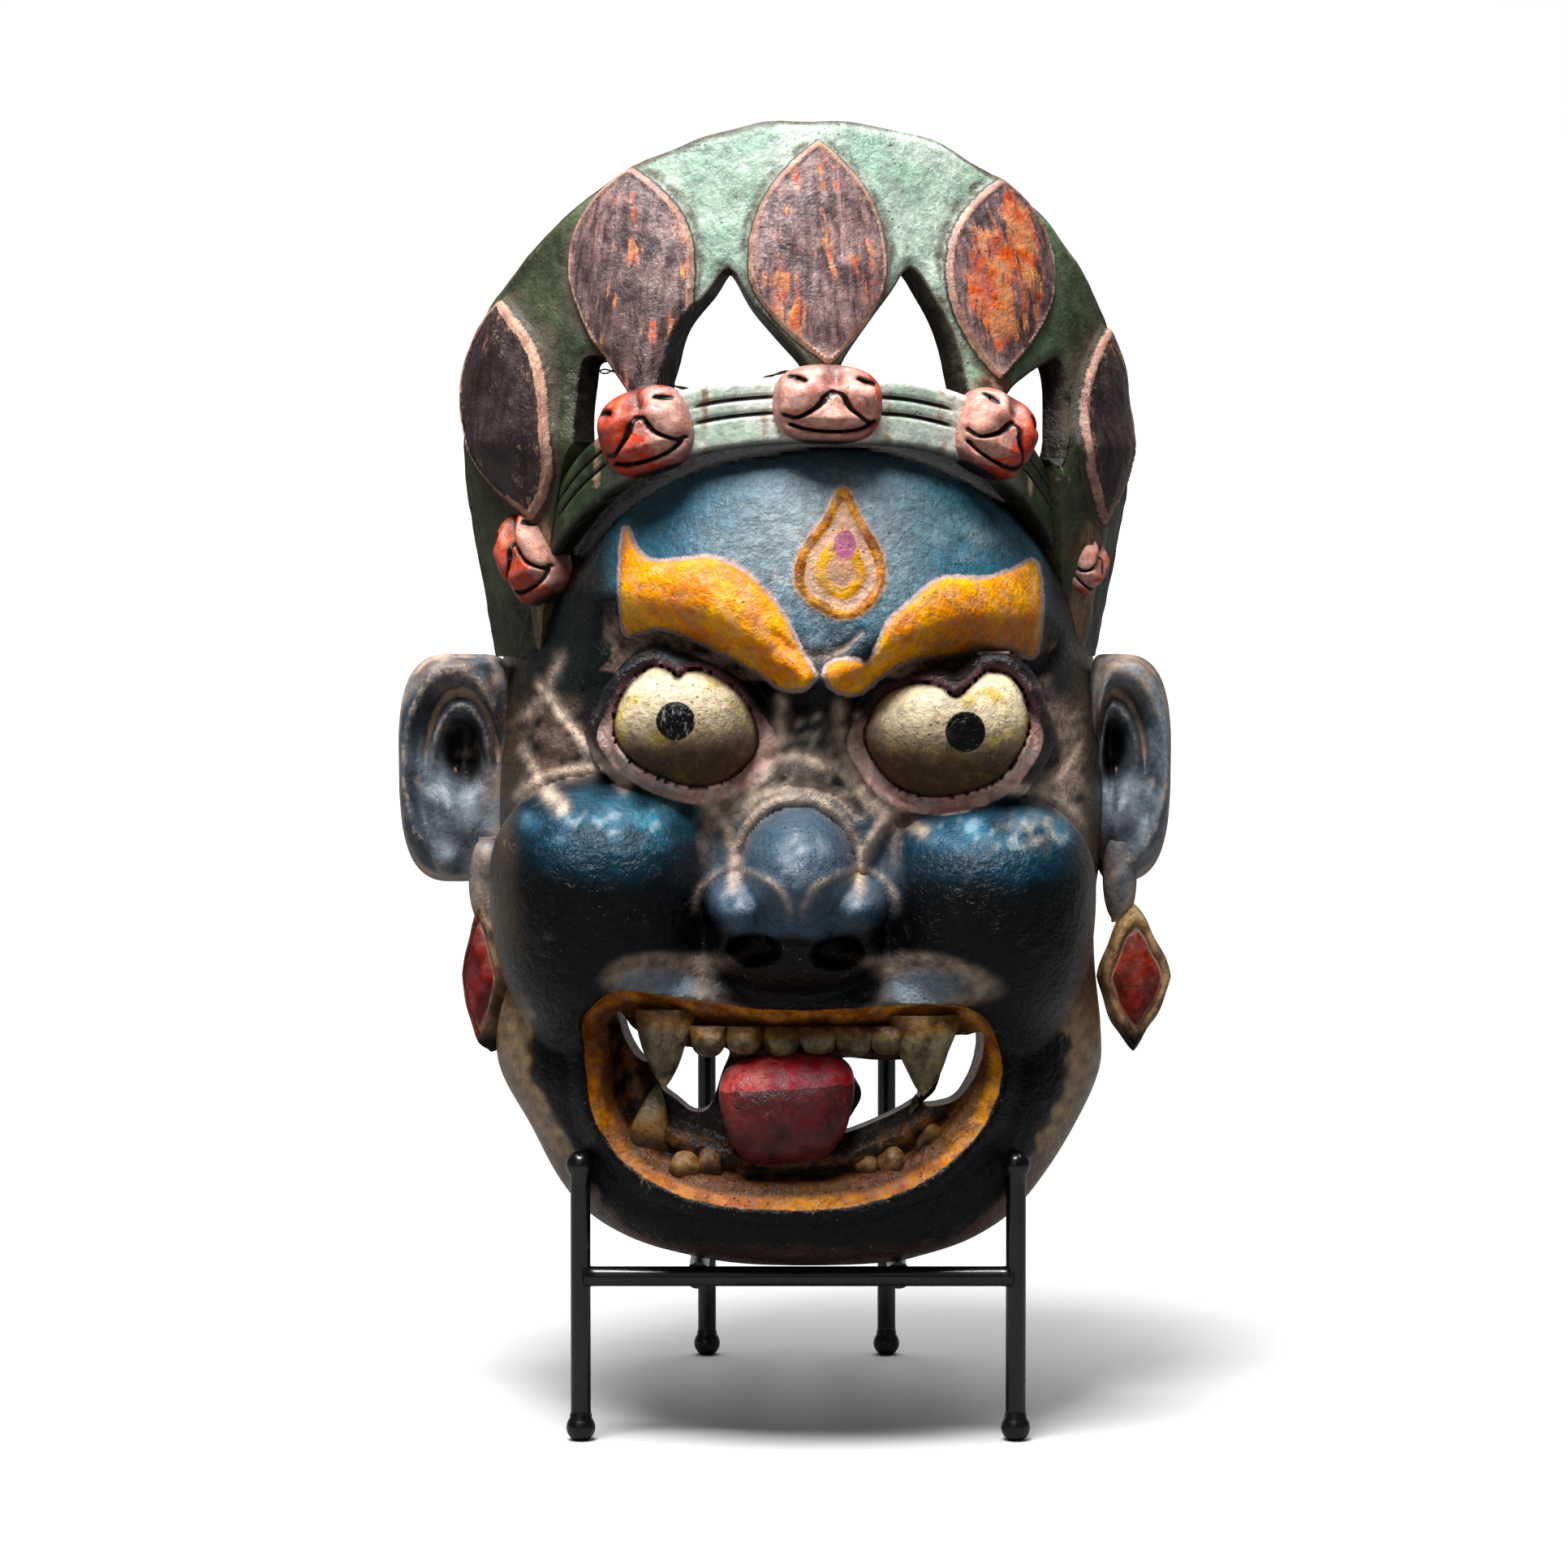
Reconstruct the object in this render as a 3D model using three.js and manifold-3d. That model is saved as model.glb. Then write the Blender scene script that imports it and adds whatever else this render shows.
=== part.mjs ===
// A carved and painted wooden Tibetan cham mask on a welded rod stand.
// Millimetres, +Z up, the face looks along -Y, and left and right are the viewer's.
// The mask is one hollow carving: head, crown, ears, ear drops, teeth and tongue are one solid.

import * as THREE from "three";
import { mergeVertices } from "three/addons/utils/BufferGeometryUtils.js";
import Module from "manifold-3d";

const wasm = await Module();
wasm.setup();

// ---------- driving dimensions ----------
const ROD = 7.3; // diameter of the stand's round steel rod
const BALL = 10.6; // diameter of the balls on the rod ends
const FOOT_FLAT = 0.6; // how much the floor side of a foot ball is filed flat
const LEG_SPACING = 159; // between the two front legs
const REAR_SPACING = 73.4; // between the two rear legs
const STAND_DEPTH = 180; // front legs to rear legs
const STAND_X = 5.2; // middle of the stand, from the middle of the mask
const FRONT_TIP_Z = 101; // centre of the balls in front of the jaw
const REAR_TIP_Z = 334; // centre of the balls under the skull cap
const CROSSBAR_Z = 60.2;
const JOINT_GAP = 0.35; // left where two rods meet, filled by the weld bead

const WALL = 12; // thickness of the carved wall
const CHIN_Z = CROSSBAR_Z + ROD / 2 + 0.4; // the chin lies on the two rails
const CAP_Z = 380; // top of the skull cap
const RIM_Y = 38; // the flat back rim at the chin
const RIM_SLOPE = 0.5; // and how far it leans back for each millimetre of height

// turned a little towards the viewer's right
const CROWN = { x: -5.3, y: 154, radius: 142, turn: 7.5, span: 66 };
const PETAL_STEP = 28.2; // degrees from leaf to leaf
const CROWN_FOOT_Z = 366; // where the crown plate starts behind the diadem
const CROWN_TOP_Z = 487; // top of the arch
const CROWN_FALL = 91; // from the top of the arch to its two shoulders
const CROWN_LEAN = 0.26; // how fast the plate leans back above its foot
const CROWN_TAPER = 0.2; // and how fast it draws in below it
const PLATE = 12; // thickness of the crown plate
const CHEEK = { from: 38, over: 14, drop: 80 }; // where the plate comes down at both sides, and how far
const DIADEM = {
  x: -2.2,
  y: 154,
  width: 137,
  depth: 152,
  z: 376,
  height: 25,
  thick: 13,
  drop: 54,
  draw: 0.2,
};

const WIRE = 0.9; // diameter of the tie wire
const WIRE_LEVEL = 389; // how high it runs behind the crown
const WIRE_WAVE = 4; // and how far it wanders up and down

const TURN = Math.PI / 180;

// how finely the round forms are faceted
const ROD_SIDES = 12;
const BALL_SIDES = 10;
const ROLL_SIDES = 8;

// ---------- solids ----------

// One closed geometry as a manifold solid.
function solid(geometry) {
  const bare = geometry.clone();
  bare.deleteAttribute("normal");
  bare.deleteAttribute("uv");
  const merged = mergeVertices(bare, 1e-4);
  const made = new wasm.Manifold(
    new wasm.Mesh({
      numProp: 3,
      vertProperties: merged.attributes.position.array,
      triVerts: new Uint32Array(merged.index.array),
    }),
  );
  if (made.volume() > 0) return made;
  const index = Array.from(merged.index.array).reverse();
  merged.setIndex(index);
  return solid(merged);
}

// A manifold solid back as a three.js geometry.
function geometryOf(made) {
  const { vertProperties, triVerts } = made.getMesh();
  const geometry = new THREE.BufferGeometry();
  geometry.setAttribute("position", new THREE.BufferAttribute(vertProperties, 3));
  geometry.setIndex(new THREE.BufferAttribute(triVerts, 1));
  geometry.computeVertexNormals();
  return geometry;
}

// The one body that is left when small slivers fall away from a cut.
const largest = (made) => made.decompose().reduce((a, b) => (a.volume() > b.volume() ? a : b));

const joined = (parts) => parts.reduce((whole, part) => whole.add(part));

// Closed rings of points, one after another, skinned into one closed body with flat ends.
function loft(rings) {
  const around = rings[0].length;
  const points = rings.flat();
  const faces = [];
  for (let r = 0; r + 1 < rings.length; r++) {
    for (let k = 0; k < around; k++) {
      const a = r * around + k;
      const b = r * around + ((k + 1) % around);
      faces.push(a, b, b + around, a, b + around, a + around);
    }
  }
  for (const [r, flip] of [[0, true], [rings.length - 1, false]]) {
    const middle = points.length;
    const ring = rings[r];
    points.push(ring.reduce((sum, p) => sum.clone().add(p)).divideScalar(around));
    for (let k = 0; k < around; k++) {
      const a = r * around + k;
      const b = r * around + ((k + 1) % around);
      faces.push(...(flip ? [b, a, middle] : [a, b, middle]));
    }
  }
  const geometry = new THREE.BufferGeometry().setFromPoints(points);
  geometry.setIndex(faces);
  return geometry;
}

// Rows of numbers, the first being where each row stands: a smooth curve through every column.
function fair(rows) {
  return (at) => {
    const last = rows.length - 1;
    let k = 0;
    while (k < last - 1 && at > rows[k + 1][0]) k++;
    const span = rows[k + 1][0] - rows[k][0];
    const t = Math.min(1, Math.max(0, (at - rows[k][0]) / span));
    const before = rows[Math.max(0, k - 1)];
    const after = rows[Math.min(last, k + 2)];
    return rows[k].slice(1).map((value, c) => {
      const next = rows[k + 1][c + 1];
      const startSlope = ((next - before[c + 1]) / (rows[k + 1][0] - before[0])) * span;
      const endSlope = ((after[c + 1] - value) / (after[0] - rows[k][0])) * span;
      const t2 = t * t;
      const t3 = t2 * t;
      return (
        (2 * t3 - 3 * t2 + 1) * value +
        (t3 - 2 * t2 + t) * startSlope +
        (3 * t2 - 2 * t3) * next +
        (t3 - t2) * endSlope
      );
    });
  };
}

// ---------- the face ----------

// height, left edge, right edge, front of the plain head before it is carved
const head = fair([
  [CHIN_Z, -33, 52, 6],
  [70, -56, 70, -8],
  [78, -72, 84, -13],
  [90, -84, 96, -15],
  [110, -96, 110, -13],
  [130, -108, 120, -10],
  [146, -110, 121, -6],
  [168, -107.5, 119.5, -4],
  [190, -108, 120, -2],
  [215, -111, 124, 0],
  [240, -113, 126, 2],
  [290, -111, 122, 4],
  [325, -106, 116, 7],
  [346, -100, 110, 12],
  [360, -88, 98, 20],
  [371, -66, 76, 38],
  [CAP_Z, -30, 40, 84],
]);

const rimAt = (z) => RIM_Y + RIM_SLOPE * (z - CHIN_Z);

// A soft swelling on the face: its full height in the middle, fading to nothing at its edge.
function swelling(x, z, { at, reach, height }) {
  const d = ((x - at[0]) / reach[0]) ** 2 + ((z - at[1]) / reach[1]) ** 2;
  return d < 1 ? height * (1 - d) ** 0.9 : 0;
}

const SWELLINGS = [
  { at: [17, 318], reach: [96, 56], height: 13 }, // forehead
  { at: [10, 252], reach: [36, 62], height: 20 }, // root of the nose
  { at: [4, 166], reach: [66, 30], height: 15 }, // upper lip
  { at: [4, 88], reach: [80, 26], height: 12 }, // chin
  { at: [-64, 205], reach: [52, 62], height: 12 }, // under the left cheek
  { at: [74, 200], reach: [52, 62], height: 12 }, // under the right cheek
];

const MOUTH = { x: 3, z: 127, width: 66, height: 31, power: 2.6, depth: 15 };

// Below 1 inside the mouth, 1 on the inner edge of the lips.
function mouthAt(x, z) {
  const across = (Math.abs(x - MOUTH.x) / MOUTH.width) ** MOUTH.power;
  const up = (Math.abs(z - MOUTH.z) / MOUTH.height) ** MOUTH.power;
  return across + up;
}

// How far the carving stands out of the plain head at (x, z), and how far the mouth goes in.
function relief(x, z) {
  const out = Math.max(0, ...SWELLINGS.map((each) => swelling(x, z, each)));
  const inside = Math.min(1, Math.max(0, (1.15 - mouthAt(x, z)) / 0.5));
  return out * (1 - inside) - MOUTH.depth * inside;
}

const FRONT_STEPS = 22; // facets round the front of the head
const LEVELS = 20; // and up it
const HOLLOW_STEPS = 12;
const HOLLOW_LEVELS = 10;
const ROUNDNESS = 2.25; // 2 is an oval section, more is squarer
const RIM_BAND = 1.6; // how fast the carving fades out towards the back rim
const RIM_LIP = 6; // how deep the back rim is before the hollow starts

// A level section of the head: round the front from rim to rim, then straight across the back.
function section(z) {
  const [left, right, front] = head(z);
  const middle = (left + right) / 2;
  const half = (right - left) / 2;
  const rim = rimAt(z);
  return levels(-0.5, 0.5, FRONT_STEPS).map((turn) => {
    const across = Math.sin(turn * Math.PI);
    const round = (1 - Math.abs(across) ** ROUNDNESS) ** (1 / ROUNDNESS);
    const x = middle + half * across;
    const y = rim - (rim - front) * round - relief(x, z) * Math.min(1, RIM_BAND * round);
    return new THREE.Vector3(x, Math.min(y, rim), z);
  });
}

// The same section of the hollow, a wall's thickness inside and open through the back.
function hollowSection(z) {
  const [left, right, front] = head(z);
  const middle = (left + right) / 2;
  const half = (right - left) / 2 - WALL;
  const rim = rimAt(z);
  const ring = levels(-0.5, 0.5, HOLLOW_STEPS).map((turn) => {
    const across = Math.sin(turn * Math.PI);
    const round = (1 - Math.abs(across) ** ROUNDNESS) ** (1 / ROUNDNESS);
    const x = middle + half * across;
    const carved = relief(x, z) * (relief(x, z) > 0 ? 0.7 : 1);
    const y = rim - (rim - front) * round - (carved - WALL) * Math.min(1, RIM_BAND * round);
    return new THREE.Vector3(x, Math.min(y, rim - RIM_LIP), z);
  });
  const behind = [middle + half, middle - half].map((x) => new THREE.Vector3(x, rim + 60, z));
  return [...ring, ...behind];
}

function levels(low, high, count) {
  return Array.from({ length: count + 1 }, (_, k) => low + ((high - low) * k) / count);
}

function headOutside() {
  return solid(loft(levels(CHIN_Z, CAP_Z, LEVELS).map(section)));
}

function headHollow() {
  return solid(loft(levels(CHIN_Z + WALL, CAP_Z - WALL, HOLLOW_LEVELS).map(hollowSection)));
}

// A ball stretched to half sizes [x, y, z], leaned sideways by "lean" degrees.
function bulge(at, size, lean = 0, detail = 9) {
  const geometry = new THREE.SphereGeometry(1, detail, Math.round(detail * 0.65));
  geometry.rotateX(Math.PI / 2);
  geometry.scale(...size);
  geometry.rotateY(lean * TURN);
  geometry.translate(...at);
  return solid(geometry);
}

// The round forms of the face, each from its middle and half sizes.
const BULGES = [
  [[-63, 16, 190], [42, 46, 52], 8, 14], // left cheek
  [[75, 16, 187], [41, 46, 50], -8, 14], // right cheek
  [[5, -20, 208], [22, 40, 28], 3, 12], // ball of the nose
  [[-14, -14, 193], [16, 30, 16]], // left wing of the nose
  [[24, -14, 191], [16, 30, 16]], // right wing
  [[-36, 8, 261], [27, 26, 23]], // left eyeball
  [[60, 8, 259], [29, 26, 24]], // right eyeball
];

const EYES = [
  { x: -36, z: 261, width: 31, height: 27 },
  { x: 60, z: 259, width: 33, height: 28 },
];

// A round roll of wood along a run of points, closed into a loop where asked.
function roll(points, radius, steps, loop = false, sides = ROLL_SIDES) {
  const path = new THREE.CatmullRomCurve3(points.map((p) => new THREE.Vector3(...p)), loop);
  const round = new THREE.Shape();
  round.absarc(0, 0, radius, 0, 2 * Math.PI);
  const geometry = new THREE.ExtrudeGeometry(round, {
    steps,
    curveSegments: sides / 2,
    extrudePath: path,
    bevelEnabled: false,
  });
  return solid(geometry);
}

// The brows: thick rolls that sweep down from the temples and meet over the nose.
const BROWS = [
  [[-72, 26, 312], [-50, 5, 310], [-30, -4, 306], [-12, -9, 295], [3, -10, 283]],
  [[104, 30, 303], [80, 10, 303], [56, -1, 300], [38, -8, 291], [23, -10, 281]],
];
const BROW_RADIUS = 12;
const LID_RADIUS = 5;
const LIP_RADIUS = 7;

// A lid: the roll round an eye.
function lid({ x, z, width, height }) {
  const around = levels(0, 1, 12).slice(0, 12).map((t) => {
    const a = t * 2 * Math.PI;
    return [x + width * Math.cos(a), 4 + 10 * Math.abs(Math.cos(a)) ** 2, z + height * Math.sin(a)];
  });
  return roll(around, LID_RADIUS, 13, true);
}

// The lips: a roll round the mouth that follows the curve of the jaw.
function lips() {
  const power = 2 / MOUTH.power;
  const around = levels(0, 1, 20).slice(0, 20).map((t) => {
    const a = t * 2 * Math.PI;
    const across = Math.sign(Math.cos(a)) * Math.abs(Math.cos(a)) ** power;
    const up = Math.sign(Math.sin(a)) * Math.abs(Math.sin(a)) ** power;
    const x = MOUTH.x + (MOUTH.width + 4) * across;
    const z = MOUTH.z + (MOUTH.height + 4) * up;
    return [x, -12 + 30 * Math.abs(across) ** 2.6, z];
  });
  return roll(around, LIP_RADIUS, 20, true);
}

// ---------- the mouth ----------

// A straight-sided block over an outline in the XZ plane, from y = front to y = back.
function block(outline, front, back) {
  const shape = new THREE.Shape(outline.map(([x, z]) => new THREE.Vector2(x, z)));
  const geometry = new THREE.ExtrudeGeometry(shape, { depth: back - front, bevelEnabled: false });
  geometry.rotateX(Math.PI / 2);
  geometry.translate(0, back, 0);
  return solid(geometry);
}

// The open parts of the mouth, round the tongue and behind the fangs.
const MOUTH_GAPS = [
  [[-60, 157], [-51, 148], [-49, 138], [-55, 143]],
  [[-44, 144], [-20, 144], [-24, 122], [-33, 120], [-44, 129]],
  [[22, 140], [48, 139], [47, 124], [20, 113], [28, 128]],
  [[61, 148], [72, 150], [70, 134], [63, 125], [50, 124], [58, 134]],
];

// A fang or tooth: a cone from its root to its tip.
function fang(x, y, z, radius, length) {
  const geometry = new THREE.ConeGeometry(radius, Math.abs(length), 8);
  geometry.rotateX(length < 0 ? -Math.PI / 2 : Math.PI / 2);
  geometry.translate(x, y, z + length / 2);
  return solid(geometry);
}

function teeth() {
  const parts = [
    fang(-43, -16, 156, 10, -25),
    fang(50, -16, 154, 10, -25),
    fang(-46, -2, 94, 10, 36),
    fang(48, -2, 94, 10, 33),
  ];
  const gum = new THREE.BoxGeometry(78, 14, 12);
  gum.translate(6, -12, 150);
  parts.push(solid(gum));
  return parts;
}

// The nostrils: shallow bores up into the ball of the nose.
function nostrils() {
  return [-10, 19].map((x) => bulge([x, -36, 180], [10, 12, 7]));
}

// The tongue: a thick slab that comes out over the lower gum and curls down.
function tongue() {
  const rings = [0, 1, 2, 3, 4].map((k) => {
    const t = k / 4;
    const y = 14 - 44 * t;
    const wide = 25 * (1 - 0.25 * t ** 3);
    const high = 12 + 6 * Math.sin(t * 2.2);
    const z = 128 - 8 * t ** 2;
    return Array.from({ length: 12 }, (_, n) => {
      const a = (n / 12) * 2 * Math.PI;
      const round = (v) => Math.sign(v) * Math.abs(v) ** 0.7;
      return new THREE.Vector3(1 + wide * round(Math.cos(a)), y, z + high * round(Math.sin(a)));
    });
  });
  return solid(loft(rings));
}

// ---------- the ears ----------

const EAR = { width: 22, height: 44, sides: 16 }; // half sizes
const DROP = { width: 14.5, height: 29, sides: 16, power: 1.25 };

// A shell-shaped ear: rings from the bowl out to the rolled edge, and back round behind it.
function ear(side, x, z) {
  const ring = (grow, y) =>
    Array.from({ length: EAR.sides }, (_, n) => {
      const a = (n / EAR.sides) * 2 * Math.PI;
      const wide = EAR.width * grow * (1 + 0.04 * Math.sin(a));
      return new THREE.Vector3(x + side * wide * Math.cos(a), y, z + EAR.height * grow * Math.sin(a));
    });
  const rows = [
    [0.2, 96], [0.5, 93], [0.68, 84], [0.84, 79], [0.97, 84], [1, 94], [0.9, 106], [0.6, 112],
  ];
  return solid(loft(rows.map(([grow, y]) => ring(grow, y))));
}

// A lozenge ear drop with a raised middle, turned about Z.
function drop(x, y, z, turn) {
  const rows = [[0, -9], [0.62, -9], [0.7, -6], [1, -4], [1, 5], [0, 5]];
  const rings = rows.map(([grow, depth]) =>
    Array.from({ length: DROP.sides }, (_, n) => {
      const a = (n / DROP.sides) * 2 * Math.PI;
      const sum = Math.abs(Math.cos(a)) ** DROP.power + Math.abs(Math.sin(a)) ** DROP.power;
      const size = Math.max(grow, 0.02) / sum ** (1 / DROP.power);
      return new THREE.Vector3(DROP.width * size * Math.cos(a), depth, DROP.height * size * Math.sin(a));
    }),
  );
  const geometry = loft(rings);
  geometry.rotateZ(turn * TURN);
  geometry.translate(x, y, z);
  return solid(geometry);
}

// ---------- the crown ----------

// A point on the crown: angle round the head in degrees, height, and how far outside the plate's face.
function onCrown(angle, z, out = 0) {
  const radius = CROWN.radius - CROWN_TAPER * Math.max(0, CROWN_FOOT_Z - z) + out;
  const back = CROWN_LEAN * Math.max(0, z - CROWN_FOOT_Z);
  const a = angle * TURN;
  return new THREE.Vector3(CROWN.x + radius * Math.sin(a), CROWN.y + back - radius * Math.cos(a), z);
}

// The arch of the plate's upper edge, and its lower edge: behind the diadem in front,
// down to the ears at the sides.
function crownTop(angle) {
  const t = (angle - CROWN.turn) / CROWN.span;
  return CROWN_TOP_Z - CROWN_FALL * t * t;
}

function crownBottom(angle) {
  const t = Math.min(1, Math.max(0, (Math.abs(angle - CROWN.turn) - CHEEK.from) / CHEEK.over));
  return CROWN_FOOT_Z - t * t * (3 - 2 * t) * CHEEK.drop;
}

function crownPlate() {
  const rings = levels(-CROWN.span, CROWN.span, 20).map((turn) => {
    const angle = CROWN.turn + turn;
    const above = levels(CROWN_FOOT_Z, crownTop(angle), 3);
    const heights = [Math.min(crownBottom(angle), CROWN_FOOT_Z - 1), ...above];
    const outside = heights.map((z) => onCrown(angle, z, 0));
    const inside = heights.map((z) => onCrown(angle, z, -PLATE)).reverse();
    return [...outside, ...inside];
  });
  return solid(loft(rings));
}

// The five leaves, each from its place in the row, its foot and its tip.
const PETALS = [
  { place: -1.92, foot: 339, tip: 424 },
  { place: -1, foot: 389, tip: 466 },
  { place: 0, foot: 394, tip: 476 },
  { place: 1, foot: 390, tip: 465 },
  { place: 1.95, foot: 336, tip: 415 },
];
const PETAL_HALF = 25; // half the width of a leaf

// A leaf standing on the plate: pointed at the top, widest at its middle, drawn in to a neck below.
function petal({ place: row, foot, tip }) {
  const angle = CROWN.turn + row * PETAL_STEP;
  const rows = levels(0, 1, 6).map((t) => {
    const z = foot - 20 + (tip - foot + 20) * t;
    const neck = 0.32 * (1 - t) ** 2;
    const half = PETAL_HALF * Math.max(0.06, Math.sin(Math.PI * t ** 1.25) ** 0.75 + neck);
    const turn = half / CROWN.radius / TURN;
    const across = [-1, -0.6, 0, 0.6, 1];
    const face = across.map((s) => onCrown(angle + s * turn, z, 5 - 3 * s * s));
    const back = across.map((s) => onCrown(angle + s * turn, z, -6)).reverse();
    return [...face, ...back];
  });
  return solid(loft(rows));
}

// The open windows between the petals' necks, cut through the plate.
const WINDOWS = [
  { from: -37, to: -26, foot: 364, head: 398, peak: -0.5 },
  { from: -16, to: 7, foot: 388, head: 428, peak: -0.15 },
  { from: 10.5, to: 30.5, foot: 388, head: 428, peak: 0.13 },
  { from: 38, to: 50, foot: 364, head: 396, peak: 0.3 },
];

const CUT_BEYOND = 14; // how far a cut runs past the plate's two faces

function windowCut({ from, to, foot, head: top, peak }) {
  const middle = (from + to) / 2 + (peak * (to - from)) / 2;
  const corners = [[from, foot], [to, foot], [middle + 1.5, top], [middle - 1.5, top]];
  const inner = corners.map(([angle, z]) => onCrown(angle, z, -PLATE - CUT_BEYOND));
  const outer = corners.map(([angle, z]) => onCrown(angle, z, CUT_BEYOND));
  return solid(loft([outer, inner]));
}

// The diadem's middle line: a wrap that drops and draws in towards the ears.
function diademAt(angle, out, up) {
  const a = angle * TURN;
  const fall = DIADEM.drop * (Math.abs(angle - CROWN.turn) / DIADEM.drop) ** 2.7;
  const draw = DIADEM.draw * fall;
  return new THREE.Vector3(
    DIADEM.x + (DIADEM.width - draw + out) * Math.sin(a),
    DIADEM.y - (DIADEM.depth - draw + out) * Math.cos(a),
    DIADEM.z - fall + up,
  );
}

function diadem() {
  const half = DIADEM.height / 2;
  const rings = levels(-62, 62, 18).map((turn) => {
    const angle = CROWN.turn + turn;
    return [
      diademAt(angle, -DIADEM.thick, -half),
      diademAt(angle, -2, -half),
      diademAt(angle, 0, -half + 3),
      diademAt(angle, 0, half - 3),
      diademAt(angle, -2, half),
      diademAt(angle, -DIADEM.thick - 4, half),
    ];
  });
  return solid(loft(rings));
}

const SKULL = { width: 19.5, height: 15, depth: 13 };

// A small death's head on the diadem: a flattened ball below each leaf.
function skull({ place: row }) {
  const angle = CROWN.turn + row * PETAL_STEP;
  const ball = new THREE.SphereGeometry(1, 10, 6);
  ball.scale(SKULL.width, SKULL.depth, SKULL.height);
  ball.rotateY(0.35 * angle * TURN);
  ball.rotateZ(0.8 * angle * TURN);
  const at = diademAt(angle, 0, 2);
  ball.translate(at.x, at.y, at.z);
  return solid(ball);
}

// ---------- the whole mask ----------

function mask() {
  const hollow = headHollow();
  const face = joined([
    headOutside(),
    ...BULGES.map((each) => bulge(...each)),
    ...BROWS.map((run) => roll(run, BROW_RADIUS, 7)),
    ...EYES.map(lid),
    lips(),
  ]);
  const openFace = [hollow, ...MOUTH_GAPS.map((outline) => block(outline, -60, 60)), ...nostrils()].reduce(
    (whole, gap) => whole.subtract(gap),
    face,
  );
  const crown = joined([crownPlate(), ...PETALS.map(petal)]);
  const openCrown = WINDOWS.reduce((whole, each) => whole.subtract(windowCut(each)), crown);
  const ornaments = joined([
    openCrown,
    diadem(),
    ...PETALS.map(skull),
    ear(-1, -127, 241),
    ear(1, 128.5, 241),
    bulge([-115, 78, 200], [10, 10, 17], 0, 8), // what is left of the lobes, down to the drops
    bulge([131, 86, 201], [8, 10, 17], 0, 8),
    drop(-114.5, 72, 166, -48),
    drop(134, 84, 163, 8),
  ]).subtract(hollow);
  return joined([openFace, ornaments, tongue(), ...teeth()]);
}

// ---------- the stand ----------

function rod(from, to, radius = ROD / 2) {
  const a = new THREE.Vector3(...from);
  const b = new THREE.Vector3(...to);
  const geometry = new THREE.CylinderGeometry(radius, radius, a.distanceTo(b), ROD_SIDES);
  const toAxis = new THREE.Quaternion().setFromUnitVectors(
    new THREE.Vector3(0, 1, 0),
    b.clone().sub(a).normalize(),
  );
  geometry.applyQuaternion(toAxis);
  const middle = a.add(b).multiplyScalar(0.5);
  geometry.translate(middle.x, middle.y, middle.z);
  return solid(geometry);
}

function ball(x, y, z) {
  const geometry = new THREE.SphereGeometry(BALL / 2, BALL_SIDES, 6);
  geometry.rotateX(Math.PI / 2);
  geometry.translate(x, y, z);
  return solid(geometry);
}

// Everything below the floor, to file a flat under a foot.
function floorBlock() {
  const deep = 40;
  const geometry = new THREE.BoxGeometry(600, 600, deep);
  geometry.translate(0, 0, -deep / 2);
  return solid(geometry);
}

const footZ = BALL / 2 - FOOT_FLAT;

function leg(x, y, tipZ) {
  const whole = joined([rod([x, y, footZ], [x, y, tipZ]), ball(x, y, footZ), ball(x, y, tipZ)]);
  return whole.subtract(floorBlock());
}

// A level rod that meets two others with a coped end, clear of them by the weld gap.
function copedRod(from, to, neighbours) {
  const clear = ROD / 2 + JOINT_GAP;
  return neighbours.reduce(
    (whole, [a, b]) => whole.subtract(rod(a, b, clear)),
    rod(from, to),
  );
}

// ---------- materials and scene graph ----------

const PAINTED_WOOD = { color: 0x3f6478, roughness: 0.5, metalness: 0 };
const BLACK_STEEL = { color: 0x0d0b0d, roughness: 0.28, metalness: 0.3 };
const IRON_WIRE = { color: 0x3a2a22, roughness: 0.6, metalness: 0.8 };

const model = new THREE.Group();

function place(name, made, look) {
  const mesh = new THREE.Mesh(geometryOf(made), new THREE.MeshStandardMaterial(look));
  mesh.name = name;
  model.add(mesh);
}

place("mask", largest(mask()), PAINTED_WOOD);

// The tie wire runs behind the crown's necks, just clear of the plate.
const wireRun = [-38, -32, -26, -20, -14, -8, -1, 7].map((angle, n) => {
  const z = WIRE_LEVEL + WIRE_WAVE * Math.sin(n * 1.1);
  const at = onCrown(angle, z, -PLATE - WIRE);
  return [at.x, at.y, at.z];
});
place("tie_wire", roll(wireRun, WIRE / 2, 20, false, 6), IRON_WIRE);

const legs = {};
for (const [side, sign] of [["left", -1], ["right", 1]]) {
  const frontX = STAND_X + (sign * LEG_SPACING) / 2;
  const rearX = STAND_X + (sign * REAR_SPACING) / 2;
  legs[side] = { frontX, rearX };
  place(`front_leg_${side}`, leg(frontX, 0, FRONT_TIP_Z), BLACK_STEEL);
  place(`rear_leg_${side}`, leg(rearX, STAND_DEPTH, REAR_TIP_Z), BLACK_STEEL);
  const rail = copedRod([rearX, 0, CROSSBAR_Z], [rearX, STAND_DEPTH, CROSSBAR_Z], [
    [[-200, 0, CROSSBAR_Z], [200, 0, CROSSBAR_Z]],
    [[rearX, STAND_DEPTH, 0], [rearX, STAND_DEPTH, 200]],
  ]);
  place(`rail_${side}`, largest(rail), BLACK_STEEL);
}

const bar = copedRod(
  [legs.left.frontX, 0, CROSSBAR_Z],
  [legs.right.frontX, 0, CROSSBAR_Z],
  ["left", "right"].map((side) => [[legs[side].frontX, 0, 0], [legs[side].frontX, 0, 200]]),
);
place("crossbar", largest(bar), BLACK_STEEL);

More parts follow.
